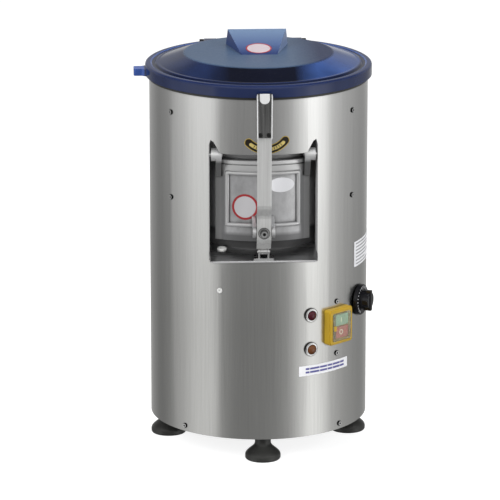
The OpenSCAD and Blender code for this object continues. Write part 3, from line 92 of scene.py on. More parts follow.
class Nodes:
    """A node tree, and short ways to add its nodes and link them."""

    def __init__(self, tree):
        self.tree = tree

    def add(self, kind, **values):
        """A node, with values for its sockets and settings."""
        node = self.tree.nodes.new(kind)
        for key, value in values.items():
            if key in node.inputs:
                node.inputs[key].default_value = value
            else:
                setattr(node, key, value)
        return node

    def link(self, out, into):
        self.tree.links.new(out, into)

    def feed(self, value, socket):
        """A number, a colour or an output into a socket."""
        if isinstance(value, bpy.types.NodeSocket):
            self.link(value, socket)
        else:
            socket.default_value = value

    def math(self, kind, first, second=0.0):
        node = self.add("ShaderNodeMath", operation=kind)
        self.feed(first, node.inputs[0])
        self.feed(second, node.inputs[1])
        return node.outputs[0]

    def both(self, first, second):
        """One where two masks are one."""
        return self.math("MULTIPLY", first, second)

    def reach(self, first, second):
        """How far two distances at a right angle lead."""
        squares = self.math("ADD", self.math("MULTIPLY", first, first),
                            self.math("MULTIPLY", second, second))
        return self.math("SQRT", squares)

    def span(self, value, low, high, start=0.3, stop=0.7, kind="LINEAR"):
        """A value from start to stop spread over low to high, and held beyond them."""
        node = self.add("ShaderNodeMapRange", interpolation_type=kind)
        for socket, number in (("From Min", start), ("From Max", stop), ("To Min", low),
                               ("To Max", high)):
            node.inputs[socket].default_value = number
        self.link(value, node.inputs["Value"])
        return node.outputs["Result"]

    def blend(self, factor, first, second, kind="MIX"):
        """Two colours, or outputs that carry one, mixed by a factor."""
        mix = self.add("ShaderNodeMix", data_type="RGBA", blend_type=kind)
        for socket, value in zip(MIX_IN, (factor, first, second)):
            self.feed(value, mix.inputs[socket])
        return mix.outputs[MIX_OUT]

    def split(self, vector):
        """The X, Y and Z of a vector."""
        parts = self.add("ShaderNodeSeparateXYZ")
        self.link(vector, parts.inputs[0])
        return parts.outputs["X"], parts.outputs["Y"], parts.outputs["Z"]

    def seen(self):
        """One for the camera's own rays, also past the clear cover, and nought for others."""
        path = self.add("ShaderNodeLightPath")
        return self.math("MAXIMUM", path.outputs["Is Camera Ray"],
                         path.outputs["Is Transmission Ray"])


class Finish(Nodes):
    """A material under construction. Places, distances and depths are in millimetres."""

    def __init__(self, name, colour, rough, metal=0.0, **sockets):
        self.material = bpy.data.materials.new(name)
        self.material.use_nodes = True
        super().__init__(self.material.node_tree)
        self.shader = self.tree.nodes["Principled BSDF"]
        self.colour = colour
        self.set("Base Color", colour)
        self.set("Roughness", rough)
        self.set("Metallic", metal)
        for socket, value in sockets.items():
            self.set(socket.replace("_", " "), value)
        self.place = self.add("ShaderNodeTexCoord").outputs["Object"]
        finishes[name] = self

    def set(self, socket, value):
        self.feed(value, self.shader.inputs[socket])

    def noise(self, scale, detail=4.0, stretch=(1, 1, 1), rough=0.5):
        """Noise on the object's own coordinates, finer where stretch is larger."""
        move = self.add("ShaderNodeMapping")
        move.inputs["Scale"].default_value = stretch
        self.link(self.place, move.inputs["Vector"])
        noise = self.add("ShaderNodeTexNoise", Scale=scale, Detail=detail, Roughness=rough)
        self.link(move.outputs["Vector"], noise.inputs["Vector"])
        return noise.outputs["Fac"]

    def axes(self):
        """The X, Y and Z of the object's own coordinates."""
        return self.split(self.place)

    def radius(self):
        """The distance from the machine's axis."""
        x, y, _ = self.axes()
        return self.reach(x, y)

    def around(self, azimuth, height, apart=0.0):
        """The distance from an axis that points outwards, or from two, one above the other."""
        x, y, z = self.axes()
        turn = math.radians(azimuth)
        along = self.math("ADD", self.math("MULTIPLY", x, math.cos(turn)),
                          self.math("MULTIPLY", y, math.sin(turn)))
        up = self.math("ABSOLUTE", self.math("SUBTRACT", z, height * MM))
        return self.reach(along, self.math("SUBTRACT", up, apart * MM))

    def past(self, value, start, stop):
        """A mask: nought before start, one past stop, whichever of them is larger."""
        return self.span(value, 0, 1, start * MM, stop * MM)

    def ring(self, distance, inner, outer, soft=0.4):
        """A mask: one between two distances, nought elsewhere."""
        return self.both(self.past(distance, inner - soft, inner),
                         self.past(distance, outer + soft, outer))

    def mottle(self, factor, spread, colour=None):
        """A colour made darker and lighter by a share, along a factor."""
        base = colour or self.colour
        dark = [c * (1 - spread) for c in base[:3]] + [1]
        light = [min(1, c * (1 + spread)) for c in base[:3]] + [1]
        return self.blend(factor, dark, light)

    def shade(self, colour, distance, dark):
        """A colour with painted shade: it darkens to a share of itself in narrow places."""
        hidden = self.add("ShaderNodeAmbientOcclusion", samples=8, Distance=distance * MM)
        level = self.span(hidden.outputs["AO"], dark, 1, 0.15, 0.95)
        return self.blend(1, colour, level, "MULTIPLY")

    def bump(self, height, strength, depth, edge):
        """Relief, on edges that are rounded off by a radius unless it is nought."""
        node = self.add("ShaderNodeBump", Strength=strength, Distance=depth * MM)
        self.link(height, node.inputs["Height"])
        if edge:
            bevel = self.add("ShaderNodeBevel", samples=4, Radius=edge * MM)
            self.link(bevel.outputs["Normal"], node.inputs["Normal"])
        self.set("Normal", node.outputs["Normal"])


def brushed(name, colour, rough, stretch, spread=0.05, edge=0.4, metal=1.0):
    """Metal with a grain: fine scratches in one direction, and a slow cloudiness."""
    finish = Finish(name, colour, rough, metal)
    fine, slow = finish.noise(260, 6, stretch, 0.65), finish.noise(9, 2, CLOUDS)
    finish.set("Base Color", finish.mottle(finish.span(fine, 0, 1), spread))
    finish.set("Roughness", finish.span(slow, rough * 0.85, rough * 1.15))
    finish.bump(fine, 0.35, 0.05, edge)


def cast(name, colour, rough, grain=420, depth=0.2, spread=0.07, metal=1.0, hollow_shade=None):
    """Cast or painted metal: a fine pitted skin with uneven tone, with painted shade darkening
    its hollows.
    """
    finish = Finish(name, colour, rough, metal)
    pits, slow = finish.noise(grain, 5), finish.noise(24, 3)
    skin = finish.mottle(finish.span(slow, 0, 1), spread)
    # painted shade in the hollows, where it is asked for
    finish.set("Base Color", finish.shade(skin, *hollow_shade) if hollow_shade else skin)
    finish.set("Roughness", finish.span(pits, rough * 0.85, rough * 1.2))
    finish.bump(pits, 0.4, depth, 0.8)


def moulded(name, colour, rough, edge=0.6, **sockets):
    """Moulded plastic or rubber: an even tone, a fine skin and slight waves."""
    finish = Finish(name, colour, rough, **sockets)
    skin, slow = finish.noise(900, 3), finish.noise(18, 2)
    finish.set("Base Color", finish.mottle(finish.span(slow, 0, 1), 0.05))
    finish.set("Roughness", finish.span(skin, rough * 0.9, rough * 1.12))
    finish.bump(skin, 0.25, 0.04, edge)


def casing_metal():
    """Brushed steel, its grain upright, with painted light that makes it a little brighter
    towards the top, and painted shade in narrow places.
    """
    finish = Finish("casing_steel", grey(0.60, -0.012), 0.28, 1.0)
    fine, slow = finish.noise(700, 5, UPRIGHT, 0.6), finish.noise(9, 2, CLOUDS)
    grain, (_, _, z) = finish.span(fine, 0, 1), finish.axes()
    low = finish.mottle(grain, 0.05, grey(0.57, -0.012))
    high = finish.mottle(grain, 0.04, grey(0.76, -0.005))
    # painted light: the steel lighter towards the top
    skin = finish.blend(finish.past(z, 250, 660), low, high)
    # painted shade in narrow places
    finish.set("Base Color", finish.shade(skin, 4, 0.25))
    finish.set("Roughness", finish.span(slow, 0.20, 0.27))
    finish.bump(fine, 0.4, 0.02, 0.4)


def lid_plastic():
    """Tinted plastic, with painted reflections and light: a misty disc painted grey-blue and
    darker to its right, a flank painted dark in its middle and lighter to the right, a hood
    painted paler towards its top and on its right side, and a deep rim with painted shade in a
    groove and a painted highlight line.
    """
    finish = Finish("blue_plastic", tone(38, 58, 108), 0.12, IOR=1.5)
    skin, slow = finish.noise(300, 3), finish.noise(14, 3)
    cloud, radius, (x, _, z) = finish.span(slow, 0, 1), finish.radius(), finish.axes()
    inside_rim = finish.past(radius, 177, 174)
    # masks for the painted shade in the rim's groove and the painted highlight line on the rim
    groove_shade, rim_highlight = finish.ring(radius, 178, 184.5), finish.ring(radius, 185.5, 187.5)
    on_disc = finish.past(z, DISC_Z - 1.7, DISC_Z - 0.3)
    on_hood = finish.past(z, DISC_Z + 0.1, DISC_Z + 0.5)
    on_tab = finish.past(x, -197.5, -199.5)
    # mask for the flank's middle, where a dark reflection is painted
    aside = finish.past(finish.math("ABSOLUTE", x), 55, 95)

    rim = finish.mottle(cloud, 0.15, tone(26, 38, 74))
    # painted shade in the rim's groove, and a painted highlight line on the rim
    rim = finish.blend(groove_shade, rim, tone(14, 22, 46))
    rim = finish.blend(rim_highlight, rim, tone(64, 84, 134))
    # painted reflections on the flank: lighter to the right, and dark in its middle
    flank_side_light = finish.blend(finish.past(x, 30, 60),
                             finish.mottle(cloud, 0.25, tone(23, 34, 64)),
                             finish.mottle(cloud, 0.25, tone(44, 66, 114)))
    flank_reflections = finish.blend(aside, finish.mottle(cloud, 0.2, tone(9, 12, 26)), flank_side_light)
    # a painted reflection on the disc: grey-blue, darker to its right
    disc = finish.blend(finish.past(x, 55, 105),
                        finish.mottle(cloud, 0.05, tone(62, 80, 104)),
                        finish.mottle(cloud, 0.05, tone(18, 32, 64)))

    # painted light on the hood: paler towards its top and on its right side
    hood_top_light = finish.blend(finish.past(z, 690, 699), tone(36, 50, 92), tone(66, 84, 122))
    hood_top_light = finish.blend(finish.past(z, 699, 714), hood_top_light, tone(94, 114, 142))
    hood_side_light = finish.blend(finish.past(x, -2, 2), tone(38, 56, 104), tone(108, 125, 158))
    _, _, upwards = finish.split(finish.add("ShaderNodeTexCoord").outputs["Normal"])
    # the hood's painted light: the side tones on its sides, the top tones on its slope
    hood = finish.blend(finish.span(upwards, 0, 1, 0.5, 0.8), hood_side_light, hood_top_light)

    colour = finish.blend(inside_rim, rim, flank_reflections)
    for place, layer in ((on_disc, disc), (on_hood, hood), (on_tab, tone(50, 80, 150))):
        colour = finish.blend(place, colour, layer)
    finish.set("Base Color", colour)
    misty = finish.span(on_disc, 0.12, 0.34, 0, 1)
    finish.set("Roughness", finish.math("MULTIPLY", misty, finish.span(skin, 0.9, 1.1)))
    finish.bump(slow, 0.1, 0.6, 0.9)


def door_metal():
    """Cast aluminium with uneven stains: painted highlights make it bright on the bead, the top
    and the lip, and painted shade makes it dull at the sides, foot and arms and dark in narrow
    places.
    """
    finish = Finish("door_metal", grey(0.60, 0.01), 0.36, 0.8)
    pits, slow = finish.noise(420, 5), finish.noise(24, 3)
    stain = finish.noise(70, 6, (1, 1, 0.5), 0.7)
    radius, (x, _, z) = finish.radius(), finish.axes()
    aside = finish.math("ABSOLUTE", x)
    # masks for painted highlights on the bead, the top and the lip, and painted shade at the
    # sides, foot and arms
    side_shade, bead_highlight = finish.past(aside, 61, 66.5), finish.past(radius, 159, 160.2)
    foot_shade, top, lip_highlight = finish.past(z, 406, 399), finish.past(z, 503, 512), finish.past(z, 520, 526)
    arm_shade = finish.both(finish.past(aside, 70, 71.2), finish.past(z, 536, 530))
    # painted shade on the door's sides, a little lighter on the left
    side_shade_tones = finish.blend(finish.past(x, -10, 10), grey(0.27, 0.005), grey(0.24, 0.005))

    worn = finish.math("ADD", finish.math("MULTIPLY", slow, 0.5),
                       finish.math("MULTIPLY", stain, 0.5))
    skin = finish.mottle(finish.span(worn, 0, 1, 0.38, 0.62), 0.16)
    # the stained skin, with the painted highlights and painted shade laid over it
    for place, layer in ((side_shade, side_shade_tones), (bead_highlight, grey(0.74, 0.005)),
                         (foot_shade, grey(0.24, 0.005)), (top, grey(0.80)), (lip_highlight, grey(0.97)),
                         (arm_shade, grey(0.30))):
        skin = finish.blend(place, skin, layer)
    # painted shade in narrow places
    finish.set("Base Color", finish.shade(skin, 6, 0.1))
    finish.set("Roughness", finish.span(pits, 0.30, 0.43))
    finish.bump(pits, 0.4, 0.2, 1.2)


def domed_metal():
    """Small screw heads: bright on top, with painted shade dark down their sides, towards the
    sheet and in narrow places.
    """
    finish = Finish("screw_steel", grey(0.85), 0.16, 1.0)
    fine = finish.noise(600, 4)
    # painted shade: dark down the heads' sides towards the sheet
    sunk = finish.past(finish.radius(), CASING_R + 2.4, CASING_R + 1.6)
    skin = finish.blend(sunk, finish.mottle(fine, 0.08), grey(0.02))
    finish.set("Base Color", finish.shade(skin, 4, 0.04))
    finish.set("Roughness", finish.span(fine, 0.12, 0.22))
    finish.bump(fine, 0.2, 0.03, 0.7)


def port_metal():
    """The frame round the port: painted light makes it pale above the door, and painted shade
    makes it dull below it.
    """
    finish = Finish("port_steel", grey(0.60), 0.36, 0.5)
    fine, (_, _, z) = finish.noise(320, 5, UPRIGHT, 0.6), finish.axes()
    # painted light above the door, painted shade below it
    above = finish.past(z, 520, 530)
    finish.set("Base Color", finish.blend(above, finish.mottle(fine, 0.08, grey(0.17, 0.002)),
                                          finish.mottle(fine, 0.06, grey(0.90))))
    finish.set("Metallic", finish.span(above, 0.85, 0.15, 0, 1))
    finish.set("Roughness", finish.span(fine, 0.30, 0.42))
    finish.bump(fine, 0.3, 0.03, 0.6)


def chute_metal():
    """Brushed steel, its grain across, with a painted highlight that makes its front edge paler
    and less metallic, and painted shade in narrow places.
    """
    finish = Finish("shelf_steel", grey(0.70, 0.005), 0.30, 0.9)
    fine, (_, y, _) = finish.noise(260, 6, ACROSS, 0.65), finish.axes()
    # painted shade in narrow places, and a painted highlight on the front edge
    front = finish.past(y, -188.5, -190)
    skin = finish.shade(finish.mottle(fine, 0.10), 30, 0.8)
    finish.set("Base Color", finish.blend(front, skin, grey(0.46)))
    finish.set("Metallic", finish.span(front, 1.0, 0.2, 0, 1))
    finish.set("Roughness", finish.span(fine, 0.25, 0.35))
    finish.bump(fine, 0.35, 0.05, 0.4)


def drum_metal():
    """Brushed steel, with a painted shadow that makes it duller in the strip that the door's
    lower edge rests over, and painted shade in narrow places.
    """
    finish = Finish("drum_steel", grey(0.42, 0.005), 0.34, 0.85)
    fine, (_, _, z) = finish.noise(260, 6, UPRIGHT, 0.65), finish.axes()
    # painted shadow in the strip under the door's lower edge
    painted_dark = finish.both(finish.past(z, 368, 376), finish.past(z, 412, 405))
    skin = finish.blend(painted_dark, finish.mottle(fine, 0.05),
                        finish.mottle(fine, 0.08, grey(0.13, 0.002)))
    # painted shade in narrow places
    finish.set("Base Color", finish.shade(skin, 30, 0.6))
    finish.set("Roughness", finish.span(fine, 0.30, 0.40))
    finish.bump(fine, 0.35, 0.05, 0.4)


def screw_metal(name, azimuth, height, apart, shade_rings):
    """Turned steel with rings of painted shade round an axis: a socket, and edges of a head or
    washer.
    """
    finish = Finish(name, grey(0.80), 0.2, 1.0)
    fine = finish.noise(500, 4)
    distance = finish.around(azimuth, height, apart)
    skin = finish.mottle(finish.span(fine, 0, 1), 0.05)
    # painted shade in each ring
    for inner, outer in shade_rings:
        skin = finish.blend(finish.ring(distance, inner, outer), skin, grey(0.03))
    finish.set("Base Color", skin)
    finish.set("Roughness", finish.span(fine, 0.15, 0.25))
    finish.bump(fine, 0.2, 0.03, 0.6)


def handle_metal():
    """Pressed steel, with painted highlights along the flanges' edges and on the scoop, and a
    painted dark reflection in the channel.
    """
    finish = Finish("handle_metal", grey(0.7), 0.22, 1.0)
    fine, (x, y, z) = finish.noise(260, 5, (1, 1, 0.05)), finish.axes()
    grain, top = finish.span(fine, 0, 1), HANDLE_Z + HANDLE_L
    # masks for the painted dark reflection in the channel and the painted highlight on the scoop
    deep = finish.past(y, 1.2 - HANDLE_FRONT, 2.6 - HANDLE_FRONT)
    middle = finish.past(finish.math("ABSOLUTE", x), 9.2, 7.8)
    high = finish.past(z, top - 24, top - 22)
    raised = finish.past(y, -HANDLE_WEB - 0.2, -HANDLE_WEB - 1.2)
    scoop_highlight = finish.both(finish.both(middle, high), raised)

    # the painted highlight tone, and the painted dark reflection tone
    highlight_tone = finish.mottle(grain, 0.06, grey(0.88))
    painted_dark = finish.mottle(grain, 0.35, grey(0.28))
    finish.set("Base Color", finish.blend(scoop_highlight, finish.blend(deep, highlight_tone, painted_dark), highlight_tone))
    # less metallic in the channel, for the painted dark reflection
    channel = finish.both(deep, finish.math("SUBTRACT", 1, scoop_highlight))
    finish.set("Metallic", finish.span(channel, 0.35, 1, 0, 1))
    finish.set("Roughness", finish.span(fine, 0.18, 0.28))
    finish.bump(fine, 0.3, 0.04, 0.7)


casing_metal()
chute_metal()
domed_metal()
door_metal()
drum_metal()
handle_metal()
lid_plastic()
port_metal()
# painted shade: the screw's socket and the edges of its head and washer, and the bezels' insides
# and outer edges
screw_metal("lever_screw_metal", 0, LEVER_SCREW_Z, 0, ((0, 2.7), (6.0, 6.8), (9.4, 12)))
screw_metal("bezel_metal", LAMP_AZ, LAMP_Z, LAMP_APART, ((0, 8.8), (11.4, 13)))
brushed("steel", grey(0.42), 0.36, UPRIGHT)
brushed("liner_steel", grey(0.84), 0.34, UPRIGHT, metal=0.45)
brushed("bar_steel", grey(0.84, -0.01), 0.42, (1, 1, 0.02), 0.10, metal=0.75)
brushed("bright_steel", grey(0.80), 0.16, (1, 1, 0.2), 0.03, 0.5)
cast("dark_steel", grey(0.06), 0.42)
cast("grey_paint", (0.11, 0.12, 0.14, 1), 0.45, metal=0.0)
# painted shade in the aluminium's hollows
cast("cast_aluminium", grey(0.60, 0.01), 0.36, metal=0.9, hollow_shade=(30, 0.3))
cast("cast_iron", grey(0.16, 0.005), 0.5)
cast("brass", (0.62, 0.45, 0.17, 1), 0.28)
cast("abrasive", grey(0.03, 0.002), 0.85, 700, 1.2, 0.3, metal=0.0)
moulded("black_rubber", grey(0.028, -0.002), 0.36)
moulded("black_plastic", grey(0.006, 0.001), 0.24)
moulded("knob_plastic", grey(0.006, 0.002), 0.13, 0.9)
moulded("grey_plastic", grey(0.12, 0.005), 0.5)
moulded("pale_plastic", grey(0.55, -0.05), 0.45)
moulded("white_plastic", grey(0.75, -0.02), 0.35)
moulded("yellow_plastic", (0.52, 0.33, 0.025, 1), 0.32)
moulded("green_plastic", (0.19, 0.36, 0.33, 1), 0.3)
moulded("red_plastic", (0.36, 0.03, 0.05, 1), 0.3)
moulded("clear_cover", grey(0.86, -0.12), 0.2, Transmission_Weight=0.92, IOR=1.3)
for lens, colour in (("red_glass", (0.055, 0.004, 0.010, 1)),
                     ("amber_glass", (0.13, 0.045, 0.014, 1))):
    moulded(lens, colour, 0.08, edge=0, IOR=1.5)
# films for print; the olive one is painted shade for the gap beside the switch's buttons
for film, colour, rough in (
        ("label_white", grey(0.90, 0.02), 0.45), ("label_rose", (0.40, 0.34, 0.36, 1), 0.45),
        ("label_silver", grey(0.80, 0.02), 0.40), ("label_mist", (0.46, 0.45, 0.46, 1), 0.40),
        ("ink_blue", tone(92, 92, 150), 0.45), ("olive_gap_shade", tone(58, 52, 28), 0.45),
        ("ink_grey", tone(150, 150, 152), 0.45), ("ink_red", tone(150, 44, 48), 0.40),
        ("ink_black", tone(26, 20, 9), 0.40), ("ink_yellow", tone(188, 160, 66), 0.40),
        ("ink_straw", tone(206, 186, 112), 0.40)):
    moulded(film, colour, rough, edge=0)

own_finish = {
    "casing_screws": "screw_steel", "chute": "shelf_steel", "door": "door_metal",
    "drum": "drum_steel", "lamp_bezels": "bezel_metal", "lever_bar": "bar_steel",
    "lever_handle": "handle_metal", "lever_screw": "lever_screw_metal",
    "port_frame": "port_steel", "recess_liner": "liner_steel", "timer_knob": "knob_plastic"}
slots = {part["node"]: part["material_slot"] for part in frame["record"]["subparts"]}
for name, node in frame["nodes"].items():
    node.data.materials.clear()
    node.data.materials.append(finishes[own_finish.get(name, slots[name])].material)


# ---- shapes, in millimetres, flat in the XZ plane unless they say otherwise ----

def strip(width, height, corner=0.0, columns=24):
    """A plate with cut corners, in columns that bend round a cylinder."""
    shape = bmesh.new()
    bmesh.ops.create_grid(shape, x_segments=columns, y_segments=1, size=0.5)
    for vertex in shape.verts:
        vertex.co = (vertex.co.x * width, 0, vertex.co.y * height)
    if corner:
        tips = [v for v in shape.verts if abs(abs(v.co.x) - width / 2) < 0.001]
        bmesh.ops.bevel(shape, geom=tips, offset=corner, offset_type="OFFSET", segments=3,
                        profile=0.5, affect="VERTICES", clamp_overlap=True, material=-1)
    return shape


def oval(half_w, half_h, columns=36):
    """An ellipse, in columns that bend round a cylinder."""
    shape = bmesh.new()
    bmesh.ops.create_grid(shape, x_segments=columns, y_segments=1, size=1)
    for vertex in shape.verts:
        turn = vertex.co.x * math.pi / 2
        vertex.co = (half_w * math.sin(turn), 0, half_h * math.cos(turn) * vertex.co.y)
    bmesh.ops.remove_doubles(shape, verts=shape.verts, dist=0.001)
    return shape


def band(inner, outer, start=0.0, stop=360.0, steps=72):
    """A ring, or a part of one. Angles run from +X towards +Z."""
    shape = bmesh.new()
    first = shape.verts.new((inner, 0, 0))
    second = shape.verts.new((outer, 0, 0))
    shape.edges.new((first, second))
    turn = Matrix.Rotation(math.radians(-start), 3, "Y")
    bmesh.ops.rotate(shape, cent=(0, 0, 0), matrix=turn, verts=shape.verts)
    full = abs(stop - start) >= 360
    bmesh.ops.spin(shape, geom=shape.verts[:] + shape.edges[:], cent=(0, 0, 0), axis=(0, 1, 0),
                   dvec=(0, 0, 0), angle=math.radians(start - stop), steps=steps,
                   use_merge=full, use_duplicate=False)
    return shape


def on_circle(radius, angle, x=0.0, z=0.0):
    """The place at an angle on a circle, in the form that shift takes."""
    turn = math.radians(angle)
    return {"x": x + radius * math.cos(turn), "z": z + radius * math.sin(turn)}


def shift(shape, x=0.0, y=0.0, z=0.0, turn=0.0):
    """A shape turned in its own plane and moved."""
    bmesh.ops.rotate(shape, cent=(0, 0, 0), verts=shape.verts,
                     matrix=Matrix.Rotation(math.radians(-turn), 3, "Y"))
    bmesh.ops.translate(shape, vec=(x, y, z), verts=shape.verts)
    return shape


def squash(shape, share):
    """A shape made lower."""
    bmesh.ops.scale(shape, vec=(1, 1, share), verts=shape.verts)
    return shape


def join(*shapes):
    """Several shapes as one."""
    whole = bmesh.new()
    for shape in shapes:
        spare = bpy.data.meshes.new("spare")
        shape.to_mesh(spare)
        shape.free()
        whole.from_mesh(spare)
        bpy.data.meshes.remove(spare)
    return whole


def ticks(angles, radius, length, x=0.0, z=0.0):
    """Small bars round a centre that point away from it."""
    return join(*(shift(strip(TICK_W, length, columns=1), turn=angle + 90,
                        **on_circle(radius, angle, x, z)) for angle in angles))


def thicken(shape, depth):
    """A shape given a thickness towards +Y, or towards -Y where the depth is negative."""
    spread = bmesh.ops.extrude_face_region(shape, geom=shape.faces[:], use_keep_orig=True)
    moved = [item for item in spread["geom"] if isinstance(item, bmesh.types.BMVert)]
    bmesh.ops.translate(shape, vec=(0, depth, 0), verts=moved)
    return shape


def wrap(shape, radius, azimuth=0.0):
    """A shape bent round the machine's axis, its -Y side outwards."""
    for vertex in shape.verts:
        reach = radius - vertex.co.y
        turn = math.radians(azimuth) + vertex.co.x / radius
        vertex.co = (reach * math.sin(turn), -reach * math.cos(turn), vertex.co.z)
    return shape


def outwards(shape, azimuth):
    """A shape left flat, and turned about the machine's axis to face an azimuth."""
    bmesh.ops.rotate(shape, cent=(0, 0, 0), verts=shape.verts,
                     matrix=Matrix.Rotation(math.radians(azimuth), 3, "Z"))
    return shape


# ---- pieces ----

def piece(name, shape, finish, body="machine"):
    """A named object made of a shape in millimetres, riding on its body."""
    bmesh.ops.scale(shape, vec=(MM, MM, MM), verts=shape.verts)
    bmesh.ops.recalc_face_normals(shape, faces=shape.faces)
    for face in shape.faces:
        face.smooth = True
    mesh = bpy.data.meshes.new(name)
    shape.to_mesh(mesh)
    shape.free()
    mesh.set_sharp_from_angle(angle=math.radians(SHARP))
    mesh.materials.append(finishes[finish].material)
    thing = bpy.data.objects.new(name, mesh)
    bpy.context.scene.collection.objects.link(thing)
    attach(thing, body)


def sticker(name, shape, radius, azimuth, finish, body="machine", layer=0):
    """A thin film on a cylinder, a few hundredths of a millimetre clear of it."""
    film = thicken(shift(shape, y=-FILM_FRONT - FILM_STEP * layer), FILM)
    piece(name, wrap(film, radius, azimuth), finish, body)


def warning_band():
    """The smile-shaped band above the window: black on yellow, with a marked middle."""
    x, z, mean = 3.7, 602, 42.5
    layers = (("band_edge", 7.6, -134, -40, "ink_yellow", "yellow_plastic"),
              ("band_ground", 6.6, -134, -40, "ink_black", "black_plastic"),
              ("band_middle", 2.9, -128, -46, "ink_straw", "yellow_plastic"))
    for layer, (name, half, low, high, finish, slot) in enumerate(layers):
        parts = [shift(band(mean - half, mean + half, low, high, 40), x=x, z=z)]
        for angle in (low, high):
            parts.append(shift(oval(half, half, 16), **on_circle(mean, angle, x, z)))
        sticker(name, join(*parts), CASING_R, 0, finish, layer=layer)
    sticker("band_ticks", ticks(range(-119, -50, 6), mean, 4.2, x, z), CASING_R, 0,
            "ink_black", layer=3)


def door_stickers():
    """A pale round sticker with a red edge, and a pale oval one, on the sunk panel."""
    round_place, oval_place = {"x": -31, "z": 450}, {"x": 32, "z": 488.5}
    sticker("round_sticker", shift(oval(21.5, 21.5), **round_place), PANEL_R, 0, "label_mist",
            "door")
    sticker("round_sticker_edge", shift(band(18.9, 22.6), **round_place), PANEL_R, 0,
            "ink_red", "door", 1)
    sticker("oval_sticker", shift(oval(23, 13), **oval_place), PANEL_R, 0, "label_silver",
            "door")


def hood_sticker():
    """A pale round sticker with a red edge on the lower part of the hood's slope."""
    slope, y, lower = math.atan2(HOOD_H, HOOD_L), -7, 0.76
    z = DISC_Z + (y - HOOD_FRONT_Y) * math.tan(slope)
    lay = Matrix.Translation((0, y, z)) @ Matrix.Rotation(slope - math.pi / 2, 4, "X")
    for name, shape, finish, slot, lift in (
            ("hood_sticker", oval(21.5, 16), "label_rose", "white_plastic", 0.15),
            ("hood_sticker_edge", squash(band(20.0, 22.4), lower), "ink_red", "red_plastic",
             0.3)):
        film = thicken(shift(shape, y=-lift), FILM)
        bmesh.ops.transform(film, matrix=lay, verts=film.verts)
        piece(name, film, finish, "lid")


def low_label():
    """A label below the lamps, with two rows of blank dashes. Widths are in degrees."""
    arc = math.radians(1) * CASING_R
    azimuth, z, row, gap = 35.1, 161.5, 3.1, 0.4
    sticker("low_label", shift(strip(32.6 * arc, 18, 1), z=z), CASING_R, azimuth,
            "label_white")
    for height, name in ((z + row, "upper"), (z - row, "lower")):
        dashes, x = [], -13.1
        for length in (2.6, 6.1, 5.0, 3.6, 5.5, 3.4):
            dashes.append(shift(strip((length - gap) * arc, 3.4, columns=4),
                                x=(x + length / 2) * arc, z=height))
            x += length
        sticker("low_label_" + name, join(*dashes), CASING_R, azimuth + 0.4, "ink_blue",
                layer=1)


def tall_label():
    """A label beside the window, with rows of blank bars. Widths are in degrees."""
    arc = math.radians(1) * CASING_R
    azimuth, first_z, step, widest = 73, 366, 6, 26
    sticker("tall_label", shift(strip(30 * arc, 45, 1), z=348), CASING_R, azimuth,
            "label_white")
    bars = []
    for row, width in enumerate((25, 20, widest, 17, 24, 14, 22)):
        bars.append(shift(strip(width * arc, 2.0, columns=8), x=(width - widest) / 2 * arc,
                          z=first_z - row * step))
    sticker("tall_label_bars", join(*bars), CASING_R, azimuth, "ink_grey",
            layer=1)


def on_switch(shape, front, x, z):
    """A shape set at the switch, its back at a distance from the machine's axis."""
    return outwards(shift(shape, x=x, y=-front, z=SWITCH_Z + z), SWITCH_AZ)


def switch_details():
    """A nub on the frame, a dark strip of painted shade in the slot beside the buttons, and the
    on and off marks.
    """
    mark_front, mark_x, mark_z = BUTTON_FRONT + CLEAR, 1, 11
    nub = thicken(strip(5.5, 9, 1.2, 4), -1.5)
    piece("switch_nub", on_switch(nub, COVER_FRONT + CLEAR, -18.5, -1), "yellow_plastic")
    # a dark sheet for the painted shade in the gap beside the buttons
    groove_shade = thicken(strip(6, 40, 0.4, 4), -0.3)
    piece("switch_slot_shade", on_switch(groove_shade, BUTTON_FRONT + 0.2, -15.8, 0), "olive_gap_shade")
    bar = thicken(strip(1.5, 8, 0.3, 2), -FILM)
    piece("on_mark", on_switch(bar, mark_front, mark_x, mark_z), "label_white", "start")
    ring = thicken(band(3.0, 4.3, steps=36), -FILM)
    piece("off_mark", on_switch(ring, mark_front, mark_x, -mark_z), "label_white", "stop")


def timer_scale():
    """Even pale ticks over 300 degrees of the timer knob's flange."""
    scale = thicken(ticks(range(-60, 241, 15), SCALE_R, 4.0), -FILM)
    scale = outwards(shift(scale, y=-FLANGE_FRONT - CLEAR, z=KNOB_Z), KNOB_AZ)
    piece("timer_scale", scale, "label_silver", "knob")


# ---- light, ground and camera, in metres and degrees ----

def greys(nodes, value, levels):
    """Grey levels at stated places along a value, eased from each to the next."""
    low, high, warm = levels[0][0], levels[-1][0], 0.99
    ramp = nodes.add("ShaderNodeValToRGB")
    ramp.color_ramp.interpolation = "EASE"
    points = ramp.color_ramp.elements
    while len(points) < len(levels):
        points.new(0.5)
    for point, (place, level) in zip(points, levels):
        point.position = (place - low) / (high - low)
        point.color = (level, level, level * warm, 1)
    nodes.link(nodes.span(value, 0, 1, low, high), ramp.inputs[0])
    return ramp.outputs["Color"]


